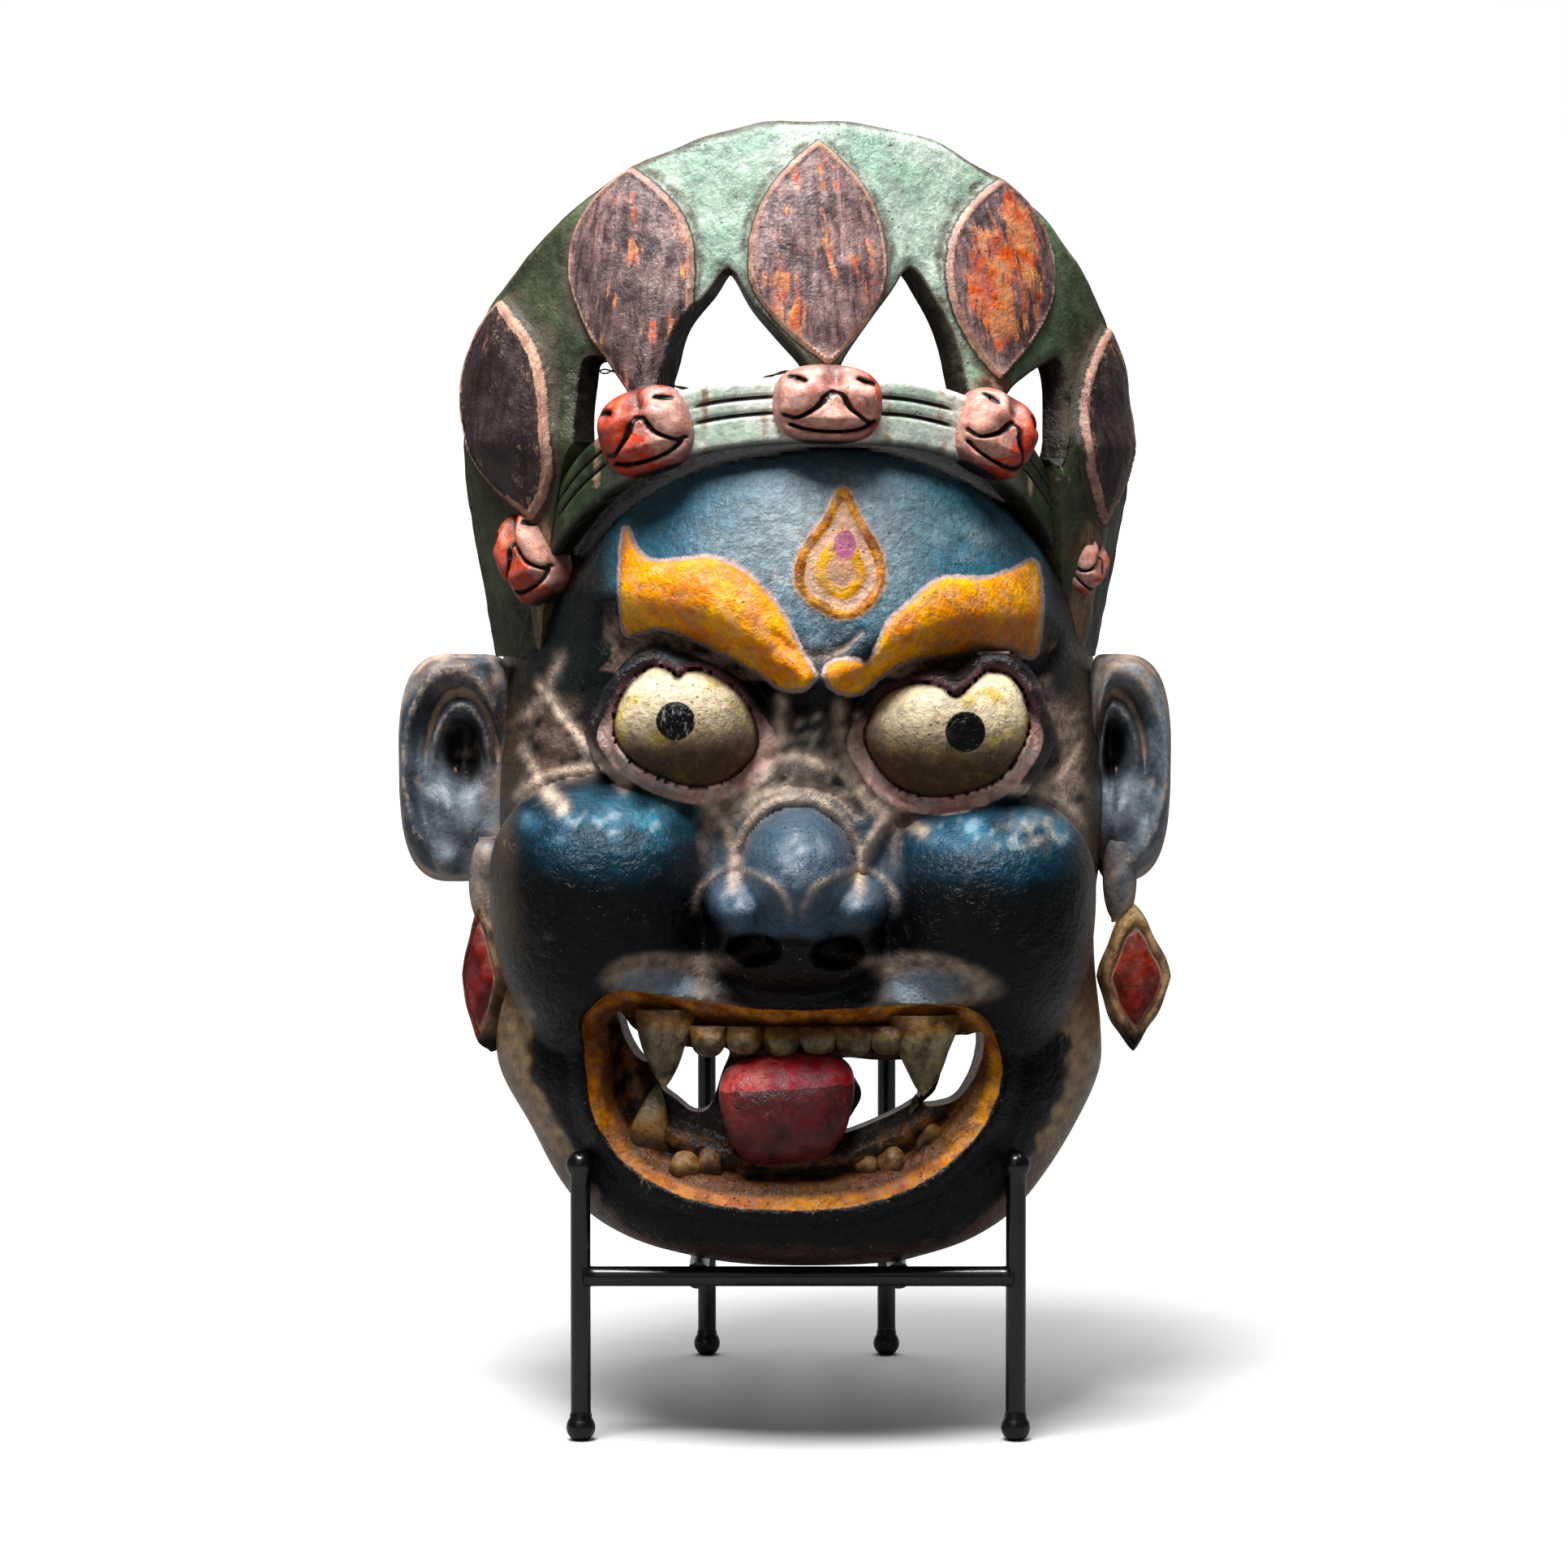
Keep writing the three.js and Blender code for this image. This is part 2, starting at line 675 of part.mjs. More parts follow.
// The origin is on the floor under the middle of everything.
const extent = new THREE.Box3().setFromObject(model);
model.position.x = -(extent.min.x + extent.max.x) / 2;
model.position.y = -(extent.min.y + extent.max.y) / 2;
const maskOnStand = new THREE.Group();
maskOnStand.add(model);

export default maskOnStand;
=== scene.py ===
import math

import bpy
import numpy as np
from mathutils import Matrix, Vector


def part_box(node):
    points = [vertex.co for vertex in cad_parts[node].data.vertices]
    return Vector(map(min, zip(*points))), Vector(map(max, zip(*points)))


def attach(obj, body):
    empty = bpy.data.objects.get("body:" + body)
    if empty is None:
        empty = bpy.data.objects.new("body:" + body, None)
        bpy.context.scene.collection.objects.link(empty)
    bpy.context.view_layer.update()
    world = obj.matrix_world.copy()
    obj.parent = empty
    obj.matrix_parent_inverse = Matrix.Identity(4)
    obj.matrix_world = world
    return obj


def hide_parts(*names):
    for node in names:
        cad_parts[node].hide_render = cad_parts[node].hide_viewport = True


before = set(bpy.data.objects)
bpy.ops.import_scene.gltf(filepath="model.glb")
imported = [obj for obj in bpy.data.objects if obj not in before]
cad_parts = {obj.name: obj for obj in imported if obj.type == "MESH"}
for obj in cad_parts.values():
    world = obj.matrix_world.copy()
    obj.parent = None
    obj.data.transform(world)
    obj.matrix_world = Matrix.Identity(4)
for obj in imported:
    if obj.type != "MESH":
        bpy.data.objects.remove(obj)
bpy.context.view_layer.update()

# A carved and painted dance mask on a welded rod stand.
# Shapes are worked out in the carver's own millimetres: x from the middle of the mask, towards the
# viewer's right; y back from the plane of the two front legs; z up from the floor.
MM = 0.001


def middle_of(node):
    low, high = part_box(node)
    return (low + high) / 2


STAND_X = 5.2  # middle of the stand, from the middle of the mask
front_left, front_right = middle_of("front_leg_left"), middle_of("front_leg_right")
ORIGIN = np.array(
    [(front_left.x + front_right.x) / 2 - STAND_X * MM, (front_left.y + front_right.y) / 2, 0.0]
)


def in_mask(point):
    """A place of the frame, in the mask's own millimetres."""
    return (np.array(point) - ORIGIN) / MM


# ---------------------------------------------------------------- meshes


def cells(index):
    """The four corners of every cell of a grid of point numbers."""
    corners = [index[:-1, :-1], index[:-1, 1:], index[1:, 1:], index[1:, :-1]]
    return np.stack(corners, -1).reshape(-1, 4)


def without_doubles(quads):
    """Four-cornered faces, with those that have two corners in one turned into triangles."""
    following = np.roll(quads, -1, 1)
    double = quads == following
    plain = quads[double.sum(1) == 0]
    pinched = quads[double.sum(1) == 1]
    keep = ~(pinched == np.roll(pinched, -1, 1))
    return plain, pinched[keep].reshape(-1, 3)


def signed_volume(points, quads, triangles):
    """Six times the volume inside the faces: above nothing when they look outwards."""
    parts = np.concatenate([quads[:, [0, 1, 2]], quads[:, [0, 2, 3]], triangles])
    a, b, c = (points[parts[:, k]] for k in range(3))
    return np.einsum("ij,ij->", a, np.cross(b, c))


def make_piece(name, points, quads, material, values=None, colours=None, sharp=60.0):
    """A mesh from whole arrays: points in the mask's millimetres, four-cornered faces,
    and one number or colour a point under each name in values and colours."""
    used, inverse = np.unique(quads, return_inverse=True)
    quads = inverse.reshape(quads.shape)
    points = points[used]
    quads, triangles = without_doubles(quads)
    if signed_volume(points - points.mean(0), quads, triangles) < 0:
        quads, triangles = quads[:, ::-1], triangles[:, ::-1]
    mesh = bpy.data.meshes.new(name)
    mesh.vertices.add(len(points))
    mesh.vertices.foreach_set("co", (points * MM + ORIGIN).astype(np.float32).ravel())
    corners = np.concatenate([quads.ravel(), triangles.ravel()]).astype(np.int32)
    starts = np.concatenate(
        [np.arange(len(quads)) * 4, quads.size + np.arange(len(triangles)) * 3]
    )
    mesh.loops.add(len(corners))
    mesh.loops.foreach_set("vertex_index", corners)
    mesh.polygons.add(len(starts))
    mesh.polygons.foreach_set("loop_start", starts.astype(np.int32))
    mesh.update(calc_edges=True)
    mesh.polygons.foreach_set("use_smooth", np.ones(len(starts), bool))
    mesh.set_sharp_from_angle(angle=math.radians(sharp))
    for key, value in (values or {}).items():
        layer = mesh.attributes.new(key, "FLOAT", "POINT")
        layer.data.foreach_set("value", np.ravel(value)[used].astype(np.float32))
    for key, value in (colours or {}).items():
        layer = mesh.attributes.new(key, "FLOAT_COLOR", "POINT")
        opaque = np.concatenate([value.reshape(-1, 3), np.ones((value.size // 3, 1))], 1)
        layer.data.foreach_set("color", opaque[used].astype(np.float32).ravel())
    mesh.materials.append(material)
    piece = bpy.data.objects.new(name, mesh)
    bpy.context.scene.collection.objects.link(piece)
    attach(piece, "root")
    return piece


def shell(outer, inner, keep, weld_ends=False):
    """A wall between two grids of the same shape. Cells that are kept are skinned on both sides, and
    every edge between a kept cell and an open one gets a strip from the outer grid to the inner one.
    With weld_ends the first and last rows are folded on their middles, which closes them."""
    rows, columns = outer.shape[:2]
    index = np.arange(rows * columns).reshape(rows, columns)
    around = np.pad(keep, 1)
    if weld_ends:
        mirrored = np.minimum(np.arange(columns), columns - 1 - np.arange(columns))
        for row in (0, -1):
            index[row] = index[row, mirrored]
            around[row] = around[row + (1 if row == 0 else -1)]
    hidden = index + rows * columns
    front = cells(index)[keep.ravel()]
    back = cells(hidden)[keep.ravel()][:, ::-1]
    above, below = around[:-1, 1:-1], around[1:, 1:-1]
    before, after = around[1:-1, :-1], around[1:-1, 1:]
    edges = (
        (above & ~below, 0, 1, False),
        (below & ~above, 0, 1, True),
        (before & ~after, 1, 0, True),
        (after & ~before, 1, 0, False),
    )
    strips = []
    for found, up, across, turned in edges:
        r, c = np.nonzero(found)
        a, b = index[r, c], index[r + up, c + across]
        d, e = hidden[r, c], hidden[r + up, c + across]
        strips.append(np.stack([e, d, a, b] if turned else [d, e, b, a], 1))
    points = np.concatenate([outer.reshape(-1, 3), inner.reshape(-1, 3)])
    return points, np.concatenate([front, back, *strips])


def ringed(points):
    """A body from rings of points, each ring closed and the first and last drawn into their middles."""
    rows, columns = points.shape[:2]
    ends = [points[:1].mean(1, keepdims=True), points[-1:].mean(1, keepdims=True)]
    closed = [np.repeat(ends[0], columns, 1), points, np.repeat(ends[1], columns, 1)]
    every = np.concatenate(closed)
    index = np.arange((rows + 2) * columns).reshape(rows + 2, columns)
    index[0] = index[0, 0]
    index[-1] = index[-1, 0]
    return every.reshape(-1, 3), cells(np.hstack([index, index[:, :1]]))


def together(parts):
    """Several bodies as one list of points and faces."""
    starts = np.cumsum([0] + [len(points) for points, _ in parts[:-1]])
    faces = [quads + start for (_, quads), start in zip(parts, starts)]
    return np.concatenate([points for points, _ in parts]), np.concatenate(faces)


# ---------------------------------------------------------------- curves, distances and noise

FAR = 14.0  # distances to an outline are worked out no further than this
NOWHERE = -999  # a depth so far behind that nothing of it shows


def full_turn(count):
    """Angles round a ring, evenly apart, with no second one at the seam."""
    return np.linspace(0, 2 * np.pi, count + 1)[:-1]


def unit(vectors):
    """Rows of numbers, each as long as one."""
    return vectors / np.linalg.norm(vectors, axis=1, keepdims=True)


def about_z(angle):
    """A turn about the upright axis."""
    return np.array(
        [[math.cos(angle), -math.sin(angle), 0], [math.sin(angle), math.cos(angle), 0], [0, 0, 1]]
    )


def with_ends(values, rows=1):
    """Numbers of a grid, for the same grid with more rows at both ends."""
    return {key: np.pad(value, [(rows, rows), (0, 0)], "edge") for key, value in values.items()}


def fair(table, at):
    """Rows of numbers, the first being where each row stands: a smooth curve through each column."""
    table = np.array(table, float)
    where = table[:, 0]
    k = np.clip(np.searchsorted(where, at) - 1, 0, len(where) - 2)
    before, after = np.maximum(k - 1, 0), np.minimum(k + 2, len(where) - 1)
    span = where[k + 1] - where[k]
    t = np.clip((at - where[k]) / span, 0, 1)
    found = []
    for column in table.T[1:]:
        start = (column[k + 1] - column[before]) / (where[k + 1] - where[before]) * span
        end = (column[after] - column[k]) / (where[after] - where[k]) * span
        found.append(
            (2 * t**3 - 3 * t**2 + 1) * column[k]
            + (t**3 - 2 * t**2 + t) * start
            + (3 * t**2 - 2 * t**3) * column[k + 1]
            + (t**3 - t**2) * end
        )
    return found


def curve(points, closed=True, steps=6):
    """A smooth line through points: between two of them, the cubic that also heeds their
    neighbours."""
    p = np.array(points, float)
    if closed:
        p = np.concatenate([p[-1:], p, p[:2]])
    else:
        p = np.concatenate([2 * p[:1] - p[1:2], p, 2 * p[-1:] - p[-2:-1]])
    t = (np.arange(steps) / steps)[None, :, None]
    a, b, c, d = (p[k : len(p) - 3 + k][:, None] for k in range(4))
    bend = b + 0.5 * t * (c - a + t * (2 * a - 5 * b + 4 * c - d + t * (3 * (b - c) + d - a)))
    line = bend.reshape(-1, p.shape[1])
    return line if closed else np.concatenate([line, p[-2:-1]])


def off_line(x, z, line, closed=False, reach=FAR):
    """Distance in mm from points to a line, no more than the reach."""
    x, z = np.asarray(x, float), np.asarray(z, float)
    best = np.full(x.shape, reach)
    low, high = line.min(0) - reach, line.max(0) + reach
    near = (x > low[0]) & (x < high[0]) & (z > low[1]) & (z < high[1])
    px, pz, found = x[near], z[near], best[near]
    ends = np.roll(line, -1, 0) if closed else line[1:]
    for (ax, az), (bx, bz) in zip(line, ends):
        ux, uz = bx - ax, bz - az
        long = ux * ux + uz * uz + 1e-9
        t = np.clip(((px - ax) * ux + (pz - az) * uz) / long, 0, 1)
        found = np.minimum(found, np.hypot(px - ax - t * ux, pz - az - t * uz))
    best[near] = found
    return best


def inside(x, z, outline, reach=FAR):
    """Distance in mm to a closed outline, above nothing inside it: the sign changes with each
    crossing of the outline to the right of the point."""
    x, z = np.asarray(x, float), np.asarray(z, float)
    odd = np.zeros(x.shape, bool)
    for (ax, az), (bx, bz) in zip(outline, np.roll(outline, -1, 0)):
        if az != bz:
            crosses = (az > z) != (bz > z)
            odd ^= crosses & (x < (bx - ax) * (z - az) / (bz - az) + ax)
    away = off_line(x, z, outline, True, reach)
    return np.where(odd, away, -away)


def blend(a, b, soft):
    """The larger of two values, with the crease between them rounded over a depth of "soft"."""
    h = np.clip(0.5 + 0.5 * (a - b) / soft, 0, 1)
    return b * (1 - h) + a * h + soft * h * (1 - h)


def ease(low, high, value):
    """0 below low, 1 above high, and a smooth rise between."""
    t = np.clip((value - low) / (high - low), 0, 1)
    return t * t * (3 - 2 * t)


def ripple(x, z, size, seed):
    """A soft wandering between -1 and 1: waves of about one size that run in eight directions."""
    made = np.random.default_rng(seed)
    total = 0
    for _ in range(8):
        turn, shift = made.uniform(0, 2 * np.pi, 2)
        pace = 2 * np.pi / (size * made.uniform(0.7, 1.5))
        total = total + np.sin(pace * (x * np.cos(turn) + z * np.sin(turn)) + shift)
    return total / 4


def smoothed(grid, reach):
    """Each point becomes the mean of its neighbours, three times, along rows and then columns."""
    span = 2 * reach + 1
    for _ in range(3):
        for axis in (0, 1):
            padding = [(reach, reach) if k == axis else (0, 0) for k in range(2)]
            padded = np.pad(grid, padding, "edge")
            total = np.cumsum(np.insert(padded, 0, 0, axis), axis)
            late = np.take(total, np.arange(span, total.shape[axis]), axis)
            early = np.take(total, np.arange(total.shape[axis] - span), axis)
            grid = (late - early) / span
    return grid


def worn_places(depth, near=2, far=5):
    """How hollow and how proud each point of a relief is beside what surrounds it, both 0 to 1:
    its height over the mean of its neighbours, lessened where the surface is steep."""
    slope = np.hypot(*np.gradient(smoothed(depth, 1)))
    steep = (1 + slope**2) ** 0.75
    lift = (1.4 * (depth - smoothed(depth, near)) + 0.3 * (depth - smoothed(depth, far))) / steep
    return np.clip((-lift - 0.08) / 1.1, 0, 1), np.clip((lift - 0.05) / 0.8, 0, 1)


def snapped(a, b, hole):
    """Cells whose middles are in a hole are opened, and the points round the opening move on to the
    hole's outline, along the slope of the distance to it."""
    middle = [(g[:-1, :-1] + g[1:, :-1] + g[:-1, 1:] + g[1:, 1:]) / 4 for g in (a, b)]
    keep = hole(*middle) < 0
    around = np.pad(keep, 1, mode="edge")
    corners = [around[:-1, :-1], around[1:, :-1], around[:-1, 1:], around[1:, 1:]]
    edge = np.any(corners, 0) & ~np.all(corners, 0)
    pa, pb = a[edge], b[edge]
    for _ in range(3):
        away = hole(pa, pb)
        slope_a = (hole(pa + 0.1, pb) - away) / 0.1
        slope_b = (hole(pa, pb + 0.1) - away) / 0.1
        step = np.clip(away / (slope_a**2 + slope_b**2 + 1e-3), -0.6, 0.6)
        pa, pb = pa - step * slope_a, pb - step * slope_b
    a, b = a.copy(), b.copy()
    a[edge], b[edge] = pa, pb
    return a, b, keep


def two_sided(front, back):
    """Numbers of the front and the back of a wall, as its points are listed."""
    return {key: np.concatenate([front[key], back[key]]) for key in front}


# ---------------------------------------------------------------- materials


def linear(red, green, blue):
    """A paint colour on the 0 to 255 scale, as light."""
    c = np.array([red, green, blue], float) / 255
    return np.where(c <= 0.04045, c / 12.92, ((c + 0.055) / 1.055) ** 2.4)


def rgba(colour):
    """The same, as a colour socket takes it."""
    return (*[float(v) for v in linear(*colour)], 1.0)


class Nodes:
    """Places and joins the nodes of one material or group."""

    def __init__(self, tree):
        self.tree = tree
        self.count = 0

    def add(self, kind, label=None, **settings):
        node = self.tree.nodes.new(kind)
        self.count += 1
        node.location = (220 * (self.count % 9), -220 * (self.count // 9))
        if label:
            node.label = label
        for key, value in settings.items():
            setattr(node, key, value)
        return node

    def join(self, source, target):
        self.tree.links.new(source, target)

    def feed(self, socket, value):
        if isinstance(value, bpy.types.NodeSocket):
            self.join(value, socket)
        elif value is not None:
            socket.default_value = value

    def fill(self, node, given):
        """Sets or joins several of a node's inputs by their names, and gives back its first output."""
        for name, value in given.items():
            self.feed(node.inputs[name], value)
        return node.outputs[0]

    def math(self, kind, a, b=0.0, clamp=False):
        node = self.add("ShaderNodeMath", operation=kind, use_clamp=clamp)
        self.feed(node.inputs[0], a)
        self.feed(node.inputs[1], b)
        return node.outputs[0]

    def times(self, a, b, clamp=False):
        return self.math("MULTIPLY", a, b, clamp)

    def plus(self, a, b, clamp=False):
        return self.math("ADD", a, b, clamp)

    def minus(self, a, b, clamp=False):
        return self.math("SUBTRACT", a, b, clamp)

    def total(self, *parts):
        """The sum of some values, each times a number of its own."""
        scaled = [self.times(value, amount) for value, amount in parts]
        whole = scaled[0]
        for part in scaled[1:]:
            whole = self.plus(whole, part)
        return whole

    def jogged(self, value, pattern, amount):
        """A value moved up and down by a pattern whose middle is a half."""
        return self.plus(value, self.times(self.minus(pattern, 0.5), amount))

    def span(self, value, low, high, to_low=0.0, to_high=1.0):
        """A smooth rise from one number to another while the value goes from low to high."""
        node = self.add("ShaderNodeMapRange", interpolation_type="SMOOTHSTEP")
        for socket, given in zip(node.inputs, (value, low, high, to_low, to_high)):
            self.feed(socket, given)
        return node.outputs[0]

    def mix(self, amount, a, b, kind="MIX"):
        """Two colours mixed. One that is given as three numbers is a paint colour, 0 to 255."""
        node = self.add("ShaderNodeMix", data_type="RGBA", blend_type=kind)
        self.feed(node.inputs["Factor"], amount)
        for socket, given in zip(node.inputs[6:8], (a, b)):
            painted = isinstance(given, tuple) and len(given) == 3
            self.feed(socket, rgba(given) if painted else given)
        return node.outputs[2]

    def mottled(self, pattern, a, b, low=0.35, high=0.65):
        """Two colours in the patches of a pattern."""
        return self.mix(self.span(pattern, low, high), a, b)

    def noise(self, place, scale, detail=3.0, rough=0.55, distortion=0.0):
        node = self.add("ShaderNodeTexNoise")
        given = {"Scale": scale, "Detail": detail, "Roughness": rough, "Distortion": distortion}
        return self.fill(node, {"Vector": place, **given})

    def cells(self, place, scale, feature="F1"):
        node = self.add("ShaderNodeTexVoronoi", feature=feature)
        return self.fill(node, {"Vector": place, "Scale": scale})

    def value(self, name):
        return self.add("ShaderNodeAttribute", attribute_name=name).outputs["Fac"]

    def colour(self, name):
        return self.add("ShaderNodeAttribute", attribute_name=name).outputs["Color"]

    def place(self, upright=1):
        """A point of the piece, for a pattern that may be drawn out upwards."""
        where = self.add("ShaderNodeTexCoord").outputs["Object"]
        if upright == 1:
            return where
        mapping = self.add("ShaderNodeMapping")
        return self.fill(mapping, {"Vector": where, "Scale": (1, 1, upright)})


def new_group(name, inputs, outputs):
    """A node group with named inputs, each with its kind and first value, and named outputs."""
    tree = bpy.data.node_groups.new(name, "ShaderNodeTree")
    for label, kind, first in inputs:
        socket = tree.interface.new_socket(label, in_out="INPUT", socket_type=kind)
        if first is not None:
            socket.default_value = first
    for label, kind in outputs:
        tree.interface.new_socket(label, in_out="OUTPUT", socket_type=kind)
    nodes = Nodes(tree)
    return nodes, nodes.add("NodeGroupInput"), nodes.add("NodeGroupOutput")


def old_paint_group():
    """Hand-laid paint that has aged: uneven in strength, rubbed through to the ground on what stands
    proud, dusty in what is hollow, specked with dark pits and crossed by fine cracks."""
    nodes, given, out = new_group(
        "old_paint",
        [
            ("Paint", "NodeSocketColor", (0.1, 0.2, 0.3, 1)),
            ("Ground", "NodeSocketColor", rgba((185, 160, 135))),
            ("Dust", "NodeSocketColor", rgba((196, 168, 146))),
            ("Hollow", "NodeSocketFloat", 0.0),
            ("Proud", "NodeSocketFloat", 0.0),
            ("Wear", "NodeSocketFloat", 0.5),
            ("Dusting", "NodeSocketFloat", 0.5),
            ("Pitting", "NodeSocketFloat", 0.5),
        ],
        [
            ("Colour", "NodeSocketColor"),
            ("Roughness", "NodeSocketFloat"),
            ("Height", "NodeSocketFloat"),
        ],
    )
    where = nodes.place()
    broad = nodes.noise(where, 32, 4)
    fine = nodes.noise(where, 190, 4, 0.65)
    speck = nodes.noise(where, 720, 3, 0.7)
    daub = nodes.noise(where, 330, 4, 0.6, 0.6)
    strength = nodes.total((broad, 0.5), (fine, 0.5), (daub, 0.5))
    strength = nodes.span(strength, 0.52, 0.98, 0.6, 1.3)
    tone = nodes.add("ShaderNodeHueSaturation")
    hue, strong = nodes.span(broad, 0.3, 0.7, 0.492, 0.508), nodes.span(fine, 0.3, 0.7, 0.86, 1.1)
    paint = given.outputs["Paint"]
    nodes.fill(tone, {"Color": paint, "Value": strength, "Saturation": strong, "Hue": hue})

    rub = nodes.times(given.outputs["Proud"], given.outputs["Wear"])
    rub = nodes.jogged(nodes.jogged(rub, fine, 1.1), speck, 0.9)
    rub = nodes.span(rub, 0.44, 0.74)
    rub = nodes.times(rub, nodes.span(given.outputs["Wear"], 0.0, 0.3))
    coloured = nodes.mix(nodes.times(rub, 0.75), tone.outputs[0], given.outputs["Ground"])

    settle = nodes.times(given.outputs["Hollow"], given.outputs["Dusting"])
    settle = nodes.times(settle, nodes.span(fine, 0.25, 0.75, 0.7, 1.9))
    settle = nodes.span(settle, 0.16, 0.9, 0.0, 0.9)
    coloured = nodes.mix(settle, coloured, given.outputs["Dust"])

    web = nodes.cells(nodes.mix(0.12, where, nodes.noise(where, 60, 2), "ADD"), 120, "DISTANCE_TO_EDGE")
    crack = nodes.span(web, 0.0, 0.035, 1.0, 0.0)
    crack = nodes.times(crack, nodes.span(broad, 0.52, 0.66))
    pit = nodes.span(nodes.cells(where, 330), 0.1, 0.2, 1.0, 0.0)
    pit = nodes.times(pit, nodes.span(nodes.noise(where, 70, 2), 0.5, 0.62))
    dark = nodes.math("MAXIMUM", nodes.times(crack, 0.7), pit)
    dark = nodes.times(dark, given.outputs["Pitting"], True)
    coloured = nodes.mix(nodes.times(dark, 0.8), coloured, (38, 28, 24))
    nodes.join(coloured, out.inputs["Colour"])

    rough = nodes.span(fine, 0.3, 0.7, 0.3, 0.46)
    rough = nodes.plus(rough, nodes.times(settle, 0.42))
    rough = nodes.plus(rough, nodes.times(dark, 0.25), True)
    nodes.join(rough, out.inputs["Roughness"])

    height = nodes.total((broad, 0.9), (fine, 0.6), (daub, 0.55), (speck, 0.2))
    height = nodes.minus(height, nodes.times(rub, 0.12))
    height = nodes.minus(height, nodes.times(dark, 0.3))
    nodes.join(height, out.inputs["Height"])
    return nodes.tree


def painted_edge_group():
    """A region laid by hand, from the distance to its outline: how much of the region's paint covers
    a point, and a thin line of a set width along the outside of its edge. Both edges waver."""
    nodes, given, out = new_group(
        "painted_edge",
        [
            ("Distance", "NodeSocketFloat", 0.0),
            ("Waver", "NodeSocketFloat", 0.8),
            ("Line", "NodeSocketFloat", 1.6),
        ],
        [("Cover", "NodeSocketFloat"), ("Outline", "NodeSocketFloat")],
    )
    where = nodes.place()
    drift = nodes.minus(nodes.noise(where, 260, 4, 0.7), 0.5)
    drift = nodes.times(drift, nodes.times(given.outputs["Waver"], 3.0))
    near = nodes.plus(given.outputs["Distance"], drift)
    cover = nodes.span(near, -0.25, 0.25)
    nodes.join(cover, out.inputs["Cover"])
    start = nodes.times(given.outputs["Line"], -1.0)
    beyond = nodes.minus(near, start)
    line = nodes.minus(nodes.span(beyond, -0.4, 0.4), cover, True)
    nodes.join(line, out.inputs["Outline"])
    return nodes.tree


OLD_PAINT = old_paint_group()
PAINTED_EDGE = painted_edge_group()


def region(nodes, name, under, colour, outline=None, line=1.6, waver=0.6):
    """Lays one painted region over what is under it, with a thin outline of another colour."""
    edge = nodes.add("ShaderNodeGroup", name, node_tree=PAINTED_EDGE)
    nodes.fill(edge, {"Distance": nodes.value(name), "Waver": waver, "Line": line})
    if outline is not None:
        under = nodes.mix(edge.outputs["Outline"], under, outline)
    return nodes.mix(edge.outputs["Cover"], under, colour)


def bare_material(name):
    material = bpy.data.materials.new(name)
    material.use_nodes = True
    material.node_tree.nodes.clear()
    return material, Nodes(material.node_tree)


def close_material(nodes, shader, height, strength, deep):
    """Ends a material: its surface height as a bump some millimetres deep, and its output."""
    bumps = nodes.add("ShaderNodeBump")
    nodes.fill(bumps, {"Strength": strength, "Distance": deep * MM, "Height": height})
    nodes.join(bumps.outputs[0], shader.inputs["Normal"])
    nodes.join(shader.outputs[0], nodes.add("ShaderNodeOutputMaterial").inputs[0])


def finished(name, paint, wear=0.5, dusting=0.6, pitting=0.5, ground=None, dust=None, bump=0.35,
             gloss=0.0, shine=0.35, glazed=None):
    """A material of old paint. "paint" lays the colours and gives back the last of them; gloss is
    taken from the roughness, and more where the distance named by glazed is above nothing."""
    material, nodes = bare_material(name)
    aged = nodes.add("ShaderNodeGroup", "old paint", node_tree=OLD_PAINT)
    nodes.fill(aged, {"Paint": paint(nodes), "Wear": wear, "Dusting": dusting, "Pitting": pitting})
    nodes.fill(aged, {"Hollow": nodes.value("hollow"), "Proud": nodes.value("proud")})
    for key, given in (("Ground", ground), ("Dust", dust)):
        if given is not None:
            aged.inputs[key].default_value = rgba(given)
    shader = nodes.add("ShaderNodeBsdfPrincipled")
    nodes.join(aged.outputs["Colour"], shader.inputs["Base Color"])
    rough = nodes.minus(aged.outputs["Roughness"], gloss, True)
    if glazed:
        glaze = nodes.span(nodes.value(glazed), -0.5, 0.5, 0.0, 0.12)
        rough = nodes.minus(rough, glaze, True)
    nodes.join(rough, shader.inputs["Roughness"])
    shader.inputs["Specular IOR Level"].default_value = shine
    close_material(nodes, shader, aged.outputs["Height"], bump, 1.6)
    return material


# ---------------------------------------------------------------- the head

CHIN_Z = 64.25  # the chin lies on the two rails
CAP_Z = 380.0  # top of the skull cap
WALL = 12.0
RIM_Y, RIM_SLOPE = 38.0, 0.5  # the flat back rim at the chin, and how it leans back with height
ROUNDNESS = 2.25  # of the head seen from above: 2 is an ellipse
END_ROWS = 8  # rows that close the chin, and as many the cap
FACES_KEPT = 0.535  # part of the head's faces that is left once those behind are thinned

# height, left edge, right edge, front of the plain head before it is carved
HEAD = [
    [CHIN_Z, -33, 52, 6],
    [70, -56, 70, -8],
    [78, -72, 84, -13],
    [90, -84, 96, -15],
    [110, -96, 110, -13],
    [130, -108, 120, -10],
    [146, -110, 121, -6],
    [168, -107.5, 119.5, -4],
    [190, -108, 120, -2],
    [215, -111, 124, 0],
    [240, -113, 126, 2],
    [290, -111, 122, 4],
    [325, -106, 116, 7],
    [346, -100, 110, 12],
    [360, -88, 98, 20],
    [371, -66, 76, 38],
    [CAP_Z, -30, 40, 84],
]


